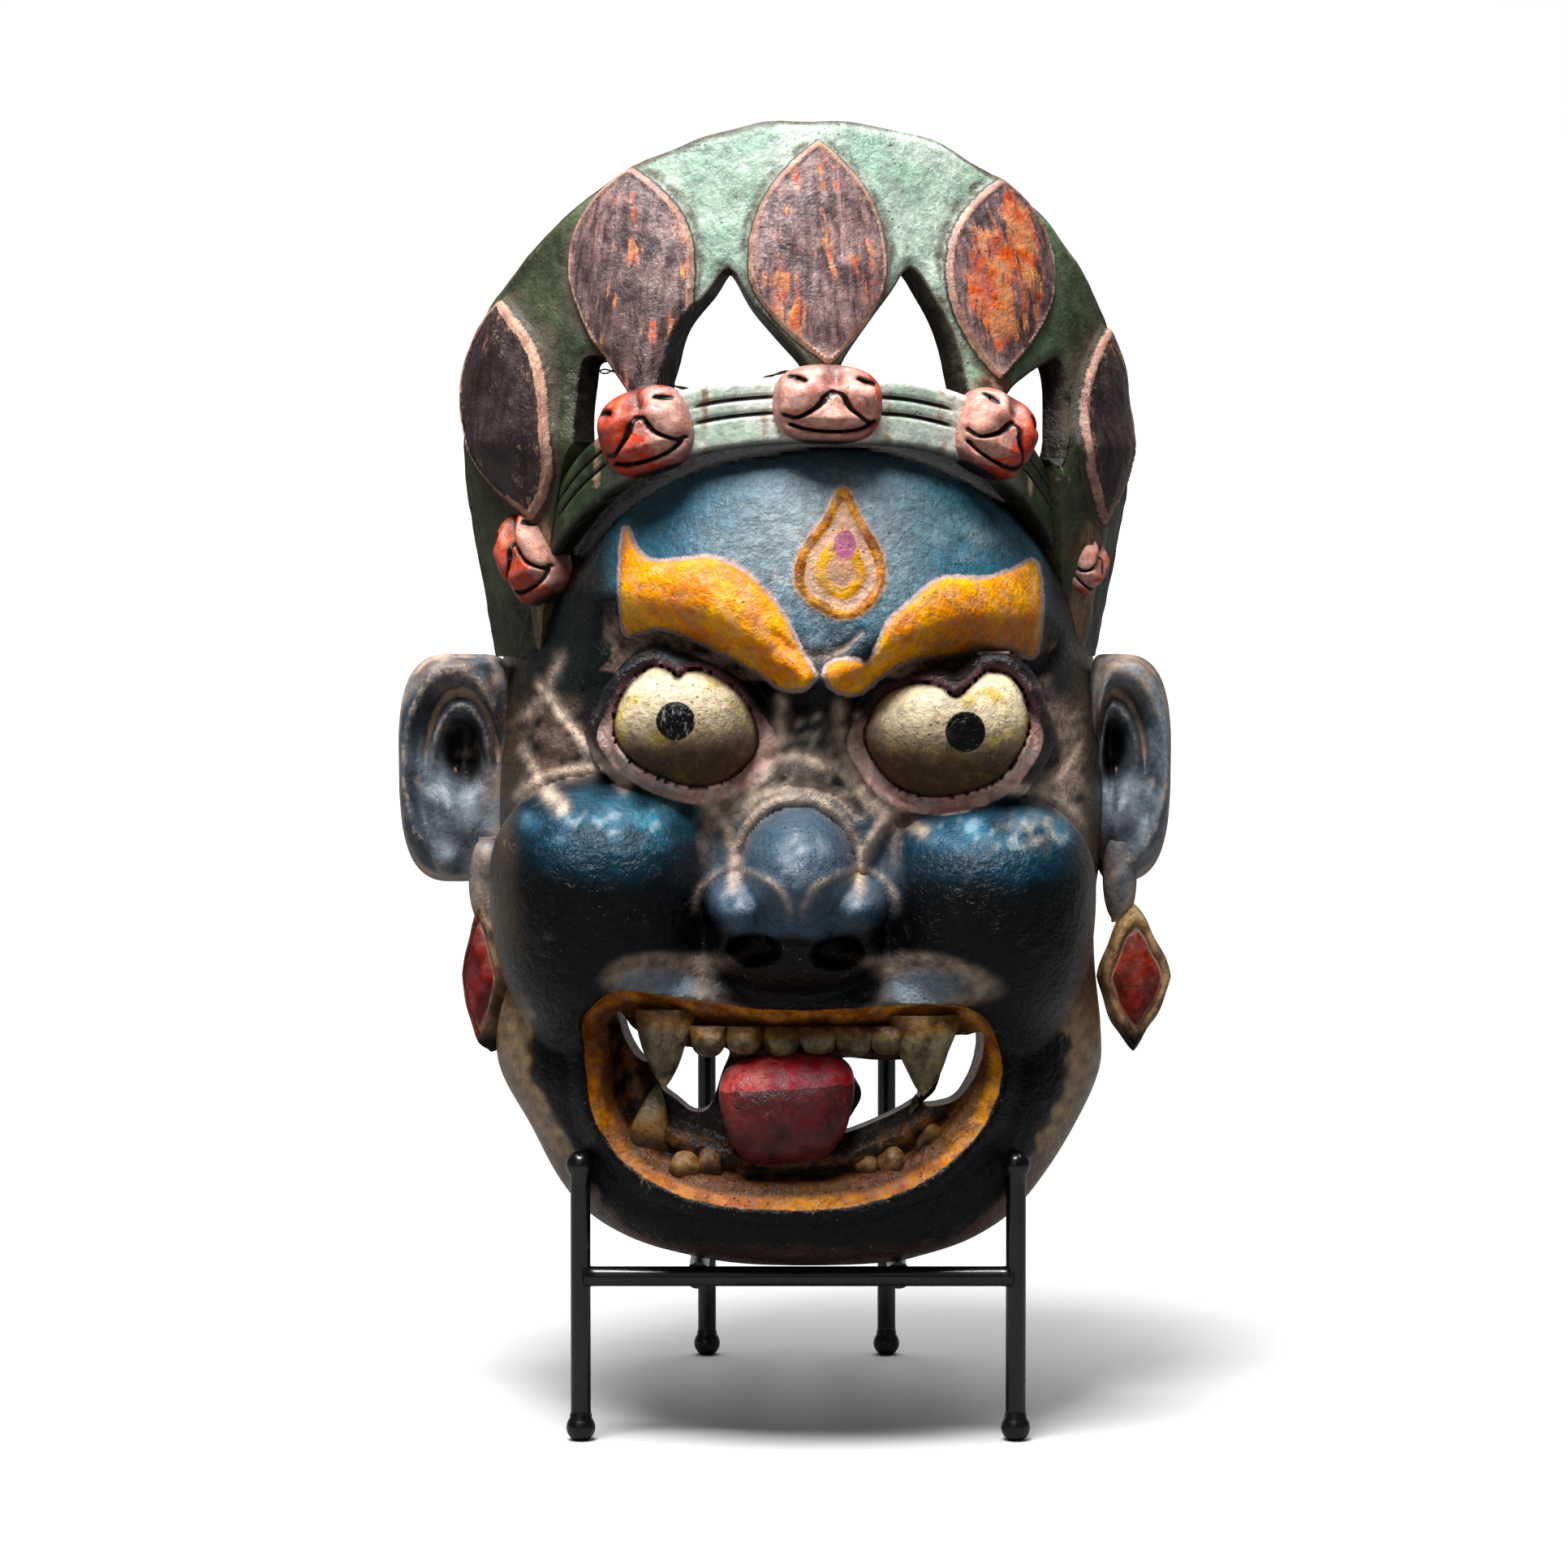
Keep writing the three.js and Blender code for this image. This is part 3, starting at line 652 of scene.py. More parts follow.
def plain_head(x, z):
    """The head before it is carved: how far its front stands towards the viewer, how round it is
    there, from 1 in front to 0 at the rim, and its middle."""
    left, right, front = fair(HEAD, z)
    middle, half = (left + right) / 2, (right - left) / 2
    across = np.clip(np.abs(x - middle) / half, 0, 1)
    around = (1 - across**ROUNDNESS) ** (1 / ROUNDNESS)
    rim = RIM_Y + RIM_SLOPE * (z - CHIN_Z)
    return -(rim - (rim - front) * around), around, middle


def swell(x, z, at, reach, height, power=0.9):
    """A soft swelling: its height times a power of one less the squared distance, in half sizes."""
    d = ((x - at[0]) / reach[0]) ** 2 + ((z - at[1]) / reach[1]) ** 2
    return height * np.clip(1 - d, 0, 1) ** power


def dome(x, z, at, size, tall_below=1.0, power=2.0):
    """A ball squashed to half sizes across, out and up, seen from the front. Below its middle it is
    drawn out by tall_below. Outside it there is nothing."""
    up = np.where(z > at[2], size[2], size[2] * tall_below)
    d = np.abs((x - at[0]) / size[0]) ** power + np.abs((z - at[2]) / up) ** power
    return np.where(d < 1, size[1] * np.sqrt(np.clip(1 - d, 0, 1)) - at[1], NOWHERE)


BROW_LEFT = curve([(-59, 332), (-59, 298), (-54, 295.5), (-45, 297), (-33, 293), (-22, 288),
                   (-10, 281.5), (-1, 275.5), (7, 275.5), (10.5, 280), (6.5, 287), (0, 300), (-7, 310),
                   (-16, 317.5), (-27, 322), (-38, 321), (-48, 321), (-54, 325)])
BROW_RIGHT = curve([(95, 320), (94.5, 288.5), (85, 289), (73.5, 289.5), (62, 287), (46, 285.5),
                    (35, 279.5), (27, 273.5), (18.5, 275), (15, 280.5), (18.5, 284.5), (25, 285),
                    (31, 284), (38, 298.5), (46, 306), (54.5, 313), (62, 315), (74, 314.6), (85, 318)])
# the middle of the brow roll: across, up
BROW_RUN = [(-130, 309), (-80, 310), (-50, 309), (-30, 305), (-12, 295), (2, 284), (13, 279), (24, 284),
            (38, 292), (56, 300), (80, 303), (130, 302)]
THIRD_EYE = curve([(21.5, 348), (14, 336), (6, 325), (4, 314), (10, 305), (22, 300), (31.5, 305),
                   (36.5, 314), (35, 325), (28.5, 336)])
DOME_EDGE = curve([(-74, 318), (-60, 338), (-32, 354), (-2, 360), (20, 362), (38, 360.5), (64, 352),
                   (86, 337), (100, 320), (112, 296), (60, 280), (-60, 280), (-84, 296)])
EYE_LEFT = curve([(-62, 258), (-61, 268), (-56, 277), (-48, 283), (-41, 281.5), (-38.4, 279),
                  (-35, 281.5), (-28, 281), (-18, 275), (-11, 265), (-9, 255), (-13, 247), (-21, 241),
                  (-33, 239), (-46, 243), (-56, 249)])
EYE_RIGHT = curve([(29, 255), (31, 265), (37, 273), (47, 277), (56, 276), (61.8, 272.5), (67, 276),
                   (74, 281), (82, 280), (88, 272), (89.5, 261), (85, 250), (77, 241), (63, 236),
                   (50, 235.5), (38, 241)])
# an eye: its opening, the middle and half sizes of its ball, and the place and radius of its pupil
EYES = [
    (EYE_LEFT, (-36, 12, 261), (31, 29, 27), (-39, 263.4), 7),
    (EYE_RIGHT, (60, 12, 259), (33, 29, 27), (65.3, 259.5), 7.3),
]
MOUTH = curve([(-71, 158), (-59, 166), (-36, 163), (-5, 159.5), (26, 160), (52, 161), (68, 159),
               (76, 150), (79, 136), (74, 120), (63, 107), (47, 96.5), (26, 90), (1, 88.5), (-25, 90),
               (-46, 96.5), (-61, 107), (-69, 120), (-72, 137), (-73, 150)])
MOUTH_GAPS = [
    curve([(-61, 158), (-56, 152), (-51.5, 148), (-49.5, 139), (-54, 141), (-59, 149)]),
    curve([(-42, 144.5), (-31, 144.5), (-20, 144), (-23, 134), (-27, 123), (-33, 121), (-39, 125),
           (-45, 130), (-43, 137)]),
    curve([(20, 140.5), (34, 140), (48, 139), (50, 131), (48, 125), (34, 118), (20, 113.5), (25, 121),
           (28, 129)]),
    curve([(60, 147), (66, 148.5), (72.5, 149.5), (72, 140), (68, 131), (62, 125), (50, 123.5),
           (55, 129), (58, 138)]),
]


def mouth_gap(x, z):
    """Distance into the nearest open part of the mouth."""
    return np.max([inside(x, z, outline, 6.0) for outline in MOUTH_GAPS], 0)


def groove(x, z, points, wide, deep):
    """A carved line through some points, with a round bottom."""
    away = off_line(x, z, curve(points, closed=False), reach=3 * wide)
    return deep * np.exp(-((away / wide) ** 2))


# sockets under the brows and hollows beside the root of the nose: middle, half sizes, depth
SOCKETS = [
    ((-36, 262), (42, 34), 9),
    ((60, 259), (44, 34), 9),
    ((-2, 262), (12, 22), 5),
    ((24, 258), (11, 22), 5),
]
# the swellings of the upper lip: middle across, back and up, and half sizes
UPPER_LIP = [((-42, 2, 162), (27, 19, 11)), ((46, 2, 160), (26, 19, 11)), ((4, 4, 164), (34, 26, 16))]
# the seats of the round forms, cheeks first, each in a raised pale welt: middle, half sizes,
# squareness, how far down the welt shows, and its width
CHEEKS = 2
SEATS = [
    ((-65, 204), (44.5, 38), 2.3, 206, 2.0),
    ((73, 200), (42.5, 36), 2.3, 202, 2.0),
    ((5, 207), (21, 25), 2.0, 204, 1.9),
    ((-15, 196), (14.5, 12.5), 2.0, 196, 1.3),
    ((23.5, 196), (14.5, 12.5), 2.0, 196, 1.3),
]
# carved lines of the face: points, width, depth, and how much pale dust lies in each
LINES = [
    ([(-92, 276), (-80, 262), (-69, 250), (-58, 240)], 2.2, 2.4, 1.0),
    ([(-26, 234), (-16, 245), (4, 251), (22, 245), (31, 234)], 2.4, 2.2, 0.9),
    ([(-17, 229), (-8, 237), (5, 240), (18, 237), (27, 229)], 2.0, 2.0, 0.9),
    ([(20, 268), (21, 252), (28, 240), (38, 229), (50, 224)], 2.4, 2.6, 0.8),
    ([(27, 264), (29, 252), (36, 240), (46, 233)], 1.8, 1.8, 0.7),
    ([(-1, 270), (-2, 254), (-9, 242), (-20, 233)], 2.4, 2.4, 0.8),
    ([(-3, 294), (4, 289), (13, 286), (21, 289), (28, 295)], 1.6, 1.6, 0.1),
    ([(2, 289), (8, 285), (14, 283), (20, 285)], 1.2, 1.2, 0.0),
    ([(93, 236), (104, 244), (112, 254)], 1.8, 2.0, 0.8),
    ([(-84, 286), (-92, 270), (-104, 262)], 2.2, 2.4, 0.5),
    ([(-100, 252), (-90, 240), (-80, 232)], 2.6, 1.8, 0.8),
]


def carved(x, z):
    """The relief of the face, as depth towards the viewer, with the paint's outlines.
    The plain head, then soft swellings, then balls joined to it with rounded creases, then the
    edges of brows, lids and lips, each a step or a ridge that follows its outline."""
    depth, around, _ = plain_head(x, z)
    facing = np.minimum(1, 1.6 * around)
    full = swell(x, z, (17, 318), (96, 58), 13)
    full = np.maximum(full, swell(x, z, (10, 250), (34, 66), 17))
    full = np.maximum(full, swell(x, z, (4, 176), (80, 46), 12))
    full = np.maximum(full, swell(x, z, (4, 86), (92, 34), 11))
    full = full + swell(x, z, (-78, 150), (42, 80), 12) + swell(x, z, (88, 150), (42, 80), 12)
    depth = depth + full * facing

    # behind the brow of the skull cap the wood is cut back under the diadem
    cap = inside(x, z, DOME_EDGE)
    depth = depth - 9 * ease(0.5, 5, -cap) * ease(296, 322, z)

    # brow rolls: one run that dips over the nose, soft above and steep below
    over_brow = z - fair(BROW_RUN, x)[0]
    across_roll = over_brow / np.where(over_brow > 0, 19, 11)
    depth = depth + 11 * np.exp(-(across_roll**2)) * facing * ease(-96, -70, x) * ease(122, 100, x)

    # sockets under the brows, and the hollows beside the root of the nose
    for at, reach, deep in SOCKETS:
        depth = depth - swell(x, z, at, reach, deep, 0.7) * facing

    # cheeks, full at the top and drawn back below
    left_cheek = dome(x, z, (-65, 28, 204), (44, 60, 38), 1.75, 2.3)
    right_cheek = dome(x, z, (73, 28, 200), (42.5, 60, 36), 1.75, 2.3)
    melt = 4 + 12 * ease(192, 165, z)
    depth = blend(blend(depth, left_cheek, melt), right_cheek, melt)

    # upper lip
    for at, size in UPPER_LIP:
        depth = blend(depth, dome(x, z, at, size), 5)

    # nose: the underside, the wings, then the ball
    depth = blend(depth, dome(x, z, (4, 2, 188), (33, 42, 14), 1.9, 2.4), 4)
    for x_wing in (-15, 23.5):
        depth = blend(depth, dome(x, z, (x_wing, 6, 196), (14.5, 50, 12.5), 1.3), 3.5)
    depth = blend(depth, dome(x, z, (5, -8, 207), (21, 50, 25), 1.0), 5)
    nostril = np.zeros(x.shape)
    for at in ((-10.5, 182.5), (19, 181)):
        away = np.hypot((x - at[0]) / 9.5, (z - at[1]) / 5.8)
        depth = depth - 13 * ease(1.15, 0.6, away)
        nostril = np.maximum(nostril, ease(1.35, 0.9, away))

    # eyes: a ball that bulges through a cut opening, with a rolled lid round it
    eye, pupil = np.full(x.shape, -FAR), np.full(x.shape, -FAR)
    for opening, at, size, pupil_at, pupil_radius in EYES:
        near = inside(x, z, opening)
        away = np.hypot((x - at[0]) / size[0], (z - at[2]) / size[2])
        ball = size[1] * np.sqrt(np.clip(1 - np.minimum(away, 0.93) ** 2, 0, 1)) - at[1]
        upper = ease(-4, 10, z - at[2])
        lid = ball + 1.5 + 1.6 * upper - (0.11 + 0.22 * upper) * (near + 3.2) ** 2
        lid = np.where(near > upper * 4 - 11, lid, NOWHERE)
        depth = np.where(near < 0, blend(depth, lid, 2.0), depth)
        depth = depth + (ball - 1.5 * ease(2.5, 0, near) - depth) * ease(-0.7, 0.4, near)
        eye = np.maximum(eye, near)
        pupil = np.maximum(pupil, pupil_radius - np.hypot(x - pupil_at[0], z - pupil_at[1]))

    # brows and the third eye stand on the rolls with a cut edge
    brow = np.maximum(inside(x, z, BROW_LEFT), inside(x, z, BROW_RIGHT))
    brow = np.minimum(brow, -4.5 - eye)
    third = inside(x, z, THIRD_EYE)
    depth = depth + 2.6 * ease(-1.0, 1.6, brow) + 1.3 * ease(-1.2, 1.2, third)
    depth = depth - 0.9 * ease(2.2, 3.4, third) + 0.9 * ease(6.5, 8.5, third)
    undercut = ease(0.2, 2.4, -brow) * ease(13, 5, -brow) * ease(0, 4, -over_brow)
    depth = depth - 4.5 * undercut * facing

    crease = np.zeros(x.shape)
    for points, wide, deep, dusty in LINES:
        cut = groove(x, z, points, wide, deep)
        depth = depth - cut
        crease = np.maximum(crease, dusty * cut / deep)
    unevenly = 1 + 0.35 * ripple(x, z, 13, 4)
    cheek = np.zeros(x.shape)
    for k, (at, size, power, low, wide) in enumerate(SEATS):
        beside = (np.abs(x - at[0]) / size[0]) ** power + (np.abs(z - at[1]) / size[1]) ** power
        beside = (beside ** (1 / power) - 1) * min(size)
        welt = np.exp(-(((beside - 1.5 * wide) / wide) ** 2))
        welt = welt * ease(low - 5, low + 8, z) * ease(-1, -5, eye)
        depth = depth + 0.8 * wide * welt * unevenly
        if k < CHEEKS:
            cheek = np.maximum(cheek, ease(1.5, -1.5, beside))
        crease = np.maximum(crease, welt * unevenly * (wide / 2) ** 1.5)

    # the mouth: a lip that slopes in, a gum behind it, and the hollow between the gums
    lip = inside(x, z, MOUTH, 40.0)
    floor = plain_head(x, z)[0] + 4
    mouth = floor + 9 - 0.85 * np.clip(lip, 0, 9)
    mouth = mouth - 5 * ease(8.5, 11, lip) + 3 * ease(11, 15, lip) - 7 * ease(17, 24, lip)
    mouth = mouth + 0.5 * ripple(x, z, 9, 3)
    depth = blend(depth, np.where(lip > -10, floor + 10.5 - 0.13 * (lip + 1.5) ** 2, NOWHERE), 3)
    depth = depth + (mouth - depth) * ease(-0.8, 1.2, lip)

    depth = depth + 0.35 * ripple(x, z, 26, 1) * facing + 0.16 * ripple(x, z, 9, 2) * facing
    outlines = {"brow": brow, "third_eye": third, "eye": eye, "pupil": pupil, "mouth": lip, "cap": cap}
    zones = {"nostril": nostril, "crease": crease, "undercut": undercut, "cheek": cheek}
    return depth, {**outlines, **zones}


def head_grid():
    """Rows up the head and columns round its front from rim to rim. The columns are closer together
    at the sides, and the rows at the top, where the surface turns away."""
    t = np.linspace(-1, 1, 325)
    across = np.sin((0.84 * t + 0.16 * t**3) * np.pi / 2)
    body = np.linspace(CHIN_Z, 352, 246)
    cap = CAP_Z - (CAP_Z - 352) * (1 - np.linspace(0, 1, 22)[1:]) ** 1.5
    z = np.concatenate([body, cap])
    left, right, _ = fair(HEAD, z)
    x = ((left + right) / 2)[:, None] + ((right - left) / 2)[:, None] * across
    return x, np.repeat(z[:, None], len(t), 1), across


def folded_ends(points, middle):
    """Adds rows at both ends of a grid that draw in sideways until left and right meet, which
    closes the chin and the cap. "middle" is where they meet, for the first row and the last."""
    draws = np.linspace(0, 1, END_ROWS + 1)[1:, None]
    ends = []
    for last, meet in zip((points[0], points[-1]), middle):
        extra = np.repeat(last[None], END_ROWS, 0)
        extra[..., 0] = meet + (last[:, 0] - meet) * (1 - draws)
        ends.append(extra)
    return np.concatenate([ends[0][::-1], points, ends[1]])


def face_paint(x, z, marks, around):
    """The broad colours of the face before its outlined regions: one colour a point, each zone
    laid over the last with a soft, wandering edge."""

    def lay(zone, amount):
        nonlocal colour
        colour = colour + (linear(*zone) - colour) * np.clip(amount, 0, 1)[..., None]

    def spot(at, reach, start=1.0, full=0.4):
        """1 in the middle of an oval and 0 outside it."""
        away = np.hypot((x - at[0]) / reach[0], (z - at[1]) / reach[1])
        return ease(start, full, away + 0.12 * wander)

    wander = ripple(x, z, 34, 11)
    small = ripple(x, z, 11, 12)
    tiny = ripple(x, z, 5, 13)
    colour = np.ones((*x.shape, 3)) * linear(20, 25, 29)
    # between the eyes and the ears, and round the nose: worn umber over black
    middle = ease(190, 204, z) * ease(292, 270, z)
    lay((132, 106, 92), middle * ease(60, 80, np.abs(x - 8)) * (0.6 + 0.45 * small + 0.3 * tiny))
    lay((196, 168, 150), middle * ease(88, 100, x) * (0.6 + 0.3 * small + 0.3 * tiny))
    nose_side = middle * ease(60, 40, np.abs(x - 8)) * ease(258, 240, z)
    lay((140, 124, 110), nose_side * (0.6 + 0.3 * small + 0.4 * tiny))
    lay((46, 48, 48), middle * ease(46, 18, np.abs(x - 10)) * ease(240, 256, z) * (0.7 + 0.3 * small))
    lay((150, 140, 126), middle * ease(22, 8, np.abs(x - 10)) * ease(240, 250, z) * (0.2 + 0.5 * tiny))
    for at, reach in (((-36, 262), (44, 38)), ((60, 260), (46, 38))):
        lay((26, 28, 31), spot(at, reach, 1.0, 0.85) * ease(236, 246, z) * 0.9)
        lay((110, 118, 124), spot((at[0], at[1] + 25), (30, 5)) * (0.2 + 0.4 * small))
    # forehead: steel blue, pale in the middle, partly worn paint and partly painted highlight, teal at
    # the sides
    brow_line = z + 3 * small
    lay((58, 98, 116), ease(286, 300, brow_line))
    lay((168, 182, 188), spot((14, 330), (54, 36), 1.05, 0.1) * (0.75 + 0.25 * wander))
    lay((34, 98, 116), ease(30, 62, np.abs(x - 14)) * ease(290, 305, z) * (0.25 + 0.3 * wander))
    lay((120, 146, 158), spot((66, 330), (22, 12)) * (0.4 + 0.4 * small))
    lay((190, 196, 196), spot((10, 320), (42, 34)) * np.clip(tiny + 0.5 * small - 0.4, 0, 0.5))
    lay((26, 34, 34), ease(-58, -70, x) * ease(262, 275, z))
    lay((40, 44, 44), ease(94, 103, x) * ease(262, 275, z))
    # painted shadow: black under the cut edge of the brows
    lay((14, 12, 13), marks["undercut"] * 1.4)
    # cheeks: blue paint high on each, black over the rest, partly the paint's own and partly painted
    # shade
    lay((10, 14, 17), marks["cheek"])
    # painted highlight: a pale streak along the top of each cheek, with painted glints on it
    highlight_streaks = np.clip(0.35 + 0.5 * wander + 0.5 * small, 0, 1)
    glint_flecks = np.clip(0.9 * tiny + 0.7 * small - 0.4, 0, 0.4)
    for cx, cz in ((-64, 219), (74, 216)):
        lay((10, 52, 70), spot((cx, cz + 5), (47, 25), 1.0, 0.3))
        lay((56, 120, 146), spot((cx + 4, cz + 9), (38, 10), 1.3, 0.3) * highlight_streaks)
        lay((176, 198, 204), spot((cx + 6, cz + 8), (34, 8), 1.3, 0.3) * glint_flecks)
    lay((150, 140, 134), spot((92, 225), (16, 8), 1.2, 0.2) * (0.35 + 0.5 * tiny))
    # painted shade over the dark paint: black below the cheeks, across the lower face beside the nose
    lay((9, 11, 13), ease(212, 192, z + 4 * small) * ease(34, 44, np.abs(x - 4)))
    # nose: a dusty hollow on both sides, grey blue above, black below as painted shade
    for cx in (-23, 34):
        lay((176, 154, 138), spot((cx, 222), (10, 22), 1.0, 0.5) * (0.8 + 0.3 * tiny))
    lay((66, 92, 112), spot((5, 208), (36, 28), 1.1, 0.8) * 0.95)
    # pale on the ball and the wings, partly rubbed paint and partly painted highlight
    lay((150, 162, 168), spot((7, 216), (13, 13), 1.0, 0.1) * (0.45 + 0.5 * small + 0.5 * tiny))
    for cx in (-17, 25):
        lay((140, 152, 160), spot((cx, 201), (9, 6)) * (0.3 + 0.5 * tiny))
    lay((7, 7, 8), ease(191, 184, z + 2 * small) * ease(38, 33, np.abs(x - 4)) * ease(162, 168, z))
    # upper lip: worn tan, grey blue towards both ends, painted shadow black under the nose
    lay((172, 150, 132), spot((3, 167), (72, 15), 1.08, 0.85) * (0.75 + 0.3 * small + 0.3 * tiny))
    for cx in (-46, 49):
        lay((116, 134, 146), spot((cx, 167), (18, 8), 1.1, 0.5) * 0.9)
    lay((9, 9, 10), spot((4, 170), (34, 13), 1.15, 0.85))
    lay((226, 200, 178), marks["crease"] * ease(0, -3, marks["eye"]) * (1.0 + 0.4 * tiny + 0.2 * small))
    # chin: a black band over a brown underside; tan strips up both edges of the jaw
    lay((12, 13, 14), ease(98, 93, z))
    lay((62, 40, 30), ease(76, 71, z + 1.5 * small))
    left, right, _ = fair(HEAD, z)
    from_side = np.minimum(x - left, right - x)
    strip = ease(18, 14, from_side + 2.5 * small) * ease(166, 150, z)
    lay((196, 158, 116), strip * ease(78, 96, z) * (0.8 + 0.3 * tiny))
    lay((110, 62, 48), strip * ease(112, 90, z + 6 * wander) * 0.8)
    # the sides of the head, back to the rim
    behind = ease(0.6, 0.4, around)
    lay((50, 46, 38), behind * ease(150, 190, z))
    lay((104, 80, 58), behind * (0.35 + 0.35 * wander))
    beyond = -marks["cap"]
    lay((48, 42, 34), ease(9, 13, beyond) * ease(298, 314, z))
    # painted shade: a black strip where the wood is cut back under the diadem
    lay((7, 6, 7), ease(-1, 1.5, beyond) * ease(13.5, 10, beyond) * ease(298, 314, z))
    return colour


def pink_and_ochre(nodes):
    """The face's own colours: broad paint, ochre mouth, pink lids, cream eyes, orange brows."""
    where = nodes.place()
    mottled = nodes.noise(where, 150, 4, 0.6)
    paint = nodes.colour("paint")
    distance = nodes.value("mouth")
    ochre = nodes.mottled(mottled, (160, 84, 4), (228, 144, 12))
    # painted shade: the ochre darker towards the foot of the mouth
    ochre = nodes.mix(nodes.times(nodes.value("down"), 0.4), ochre, (150, 76, 2))
    inner = nodes.span(nodes.plus(distance, nodes.times(mottled, 3.0)), 4.0, 7.5)
    ochre = nodes.mix(nodes.times(nodes.value("down"), inner), ochre, (46, 28, 12))
    gums = nodes.mottled(mottled, (34, 22, 16), (96, 56, 18), 0.4, 0.6)
    dirt = nodes.plus(distance, nodes.times(nodes.noise(where, 60, 4, 0.6), 9.0))
    ochre = nodes.mix(nodes.span(dirt, 7.5, 11.0), ochre, (104, 58, 14))
    throat = nodes.mix(nodes.span(dirt, 11.5, 15.0), ochre, gums)
    throat = nodes.mix(nodes.span(distance, 17.0, 23.0), throat, (34, 28, 26))
    lip_edge = nodes.plus(distance, nodes.times(mottled, 2.0))
    paint = nodes.mix(nodes.span(lip_edge, 0.7, 1.3), paint, throat)
    # lids
    eye = nodes.value("eye")
    upper = nodes.value("upper_lid")
    lid = nodes.mottled(mottled, (232, 176, 160), (250, 214, 198))
    lid = nodes.mix(upper, lid, (66, 38, 42))
    reach = nodes.minus(-6.2, nodes.times(upper, -3.4))
    edge = nodes.minus(nodes.plus(eye, nodes.times(mottled, 1.6)), 0.8)
    rim = nodes.span(nodes.minus(edge, reach), -0.5, 0.5)
    paint = nodes.mix(rim, paint, lid)
    cream = nodes.mix(nodes.value("eye_low"), (236, 216, 180), (112, 80, 44))
    yellowed = nodes.span(nodes.noise(where, 90, 4, 0.6), 0.5, 0.68, 0.0, 0.75)
    cream = nodes.mix(yellowed, cream, (190, 164, 60))
    specked = nodes.span(nodes.noise(where, 420, 3, 0.7), 0.58, 0.74, 0.0, 0.6)
    cream = nodes.mix(specked, cream, (96, 70, 46))
    brown = nodes.jogged(nodes.value("eye_low"), mottled, 1.2)
    cream = nodes.mix(nodes.span(brown, 0.5, 1.0, 0.0, 0.6), cream, (70, 48, 32))
    # a dark rim round each eyeball under the lid, partly dark paint and partly painted shade
    cream = nodes.mix(nodes.span(eye, 2.2, 0.2), cream, (60, 36, 32))
    paint = nodes.mix(nodes.span(eye, -0.35, 0.35), paint, cream)
    scratches = nodes.noise(nodes.place(0.3), 700, 2)
    scratched = nodes.mottled(scratches, (16, 15, 16), (120, 116, 104), 0.55, 0.68)
    black = nodes.mix(nodes.value("pupil_wear"), (15, 14, 16), scratched)
    paint = region(nodes, "pupil", paint, black, waver=0.35)
    # brows
    rich = nodes.noise(where, 75, 4, 0.6)
    orange = nodes.mottled(rich, (244, 142, 0), (255, 178, 0), 0.38, 0.66)
    rubbed = nodes.span(nodes.noise(where, 300, 4, 0.7), 0.62, 0.8, 0.0, 0.4)
    orange = nodes.mix(rubbed, orange, (186, 100, 2))
    paint = region(nodes, "brow", paint, orange, (184, 156, 152), 1.5, 0.7)
    # third eye: gold edge, pale pink ring, gold heart with a mauve spot
    gold = nodes.mottled(mottled, (150, 84, 20), (212, 140, 40), 0.4, 0.6)
    paint = region(nodes, "third_eye", paint, gold, (196, 160, 140), 1.0, 0.8)
    third = nodes.plus(nodes.value("third_eye"), nodes.times(mottled, 3.0))
    rings = ((4.6, 5.2, (214, 170, 140)), (8.2, 8.9, (226, 160, 40)), (12.4, 13.2, (204, 150, 120)))
    for start, end, ring in rings:
        paint = nodes.mix(nodes.span(third, start, end), paint, ring)
    paint = region(nodes, "spot", paint, (188, 104, 138), waver=0.8)
    # bare wood inside
    grain = nodes.noise(nodes.place(0.12), 160, 5, 0.6)
    wood = nodes.mottled(grain, (74, 52, 36), (128, 96, 66), 0.3, 0.7)
    return nodes.mix(nodes.value("bare"), paint, wood)


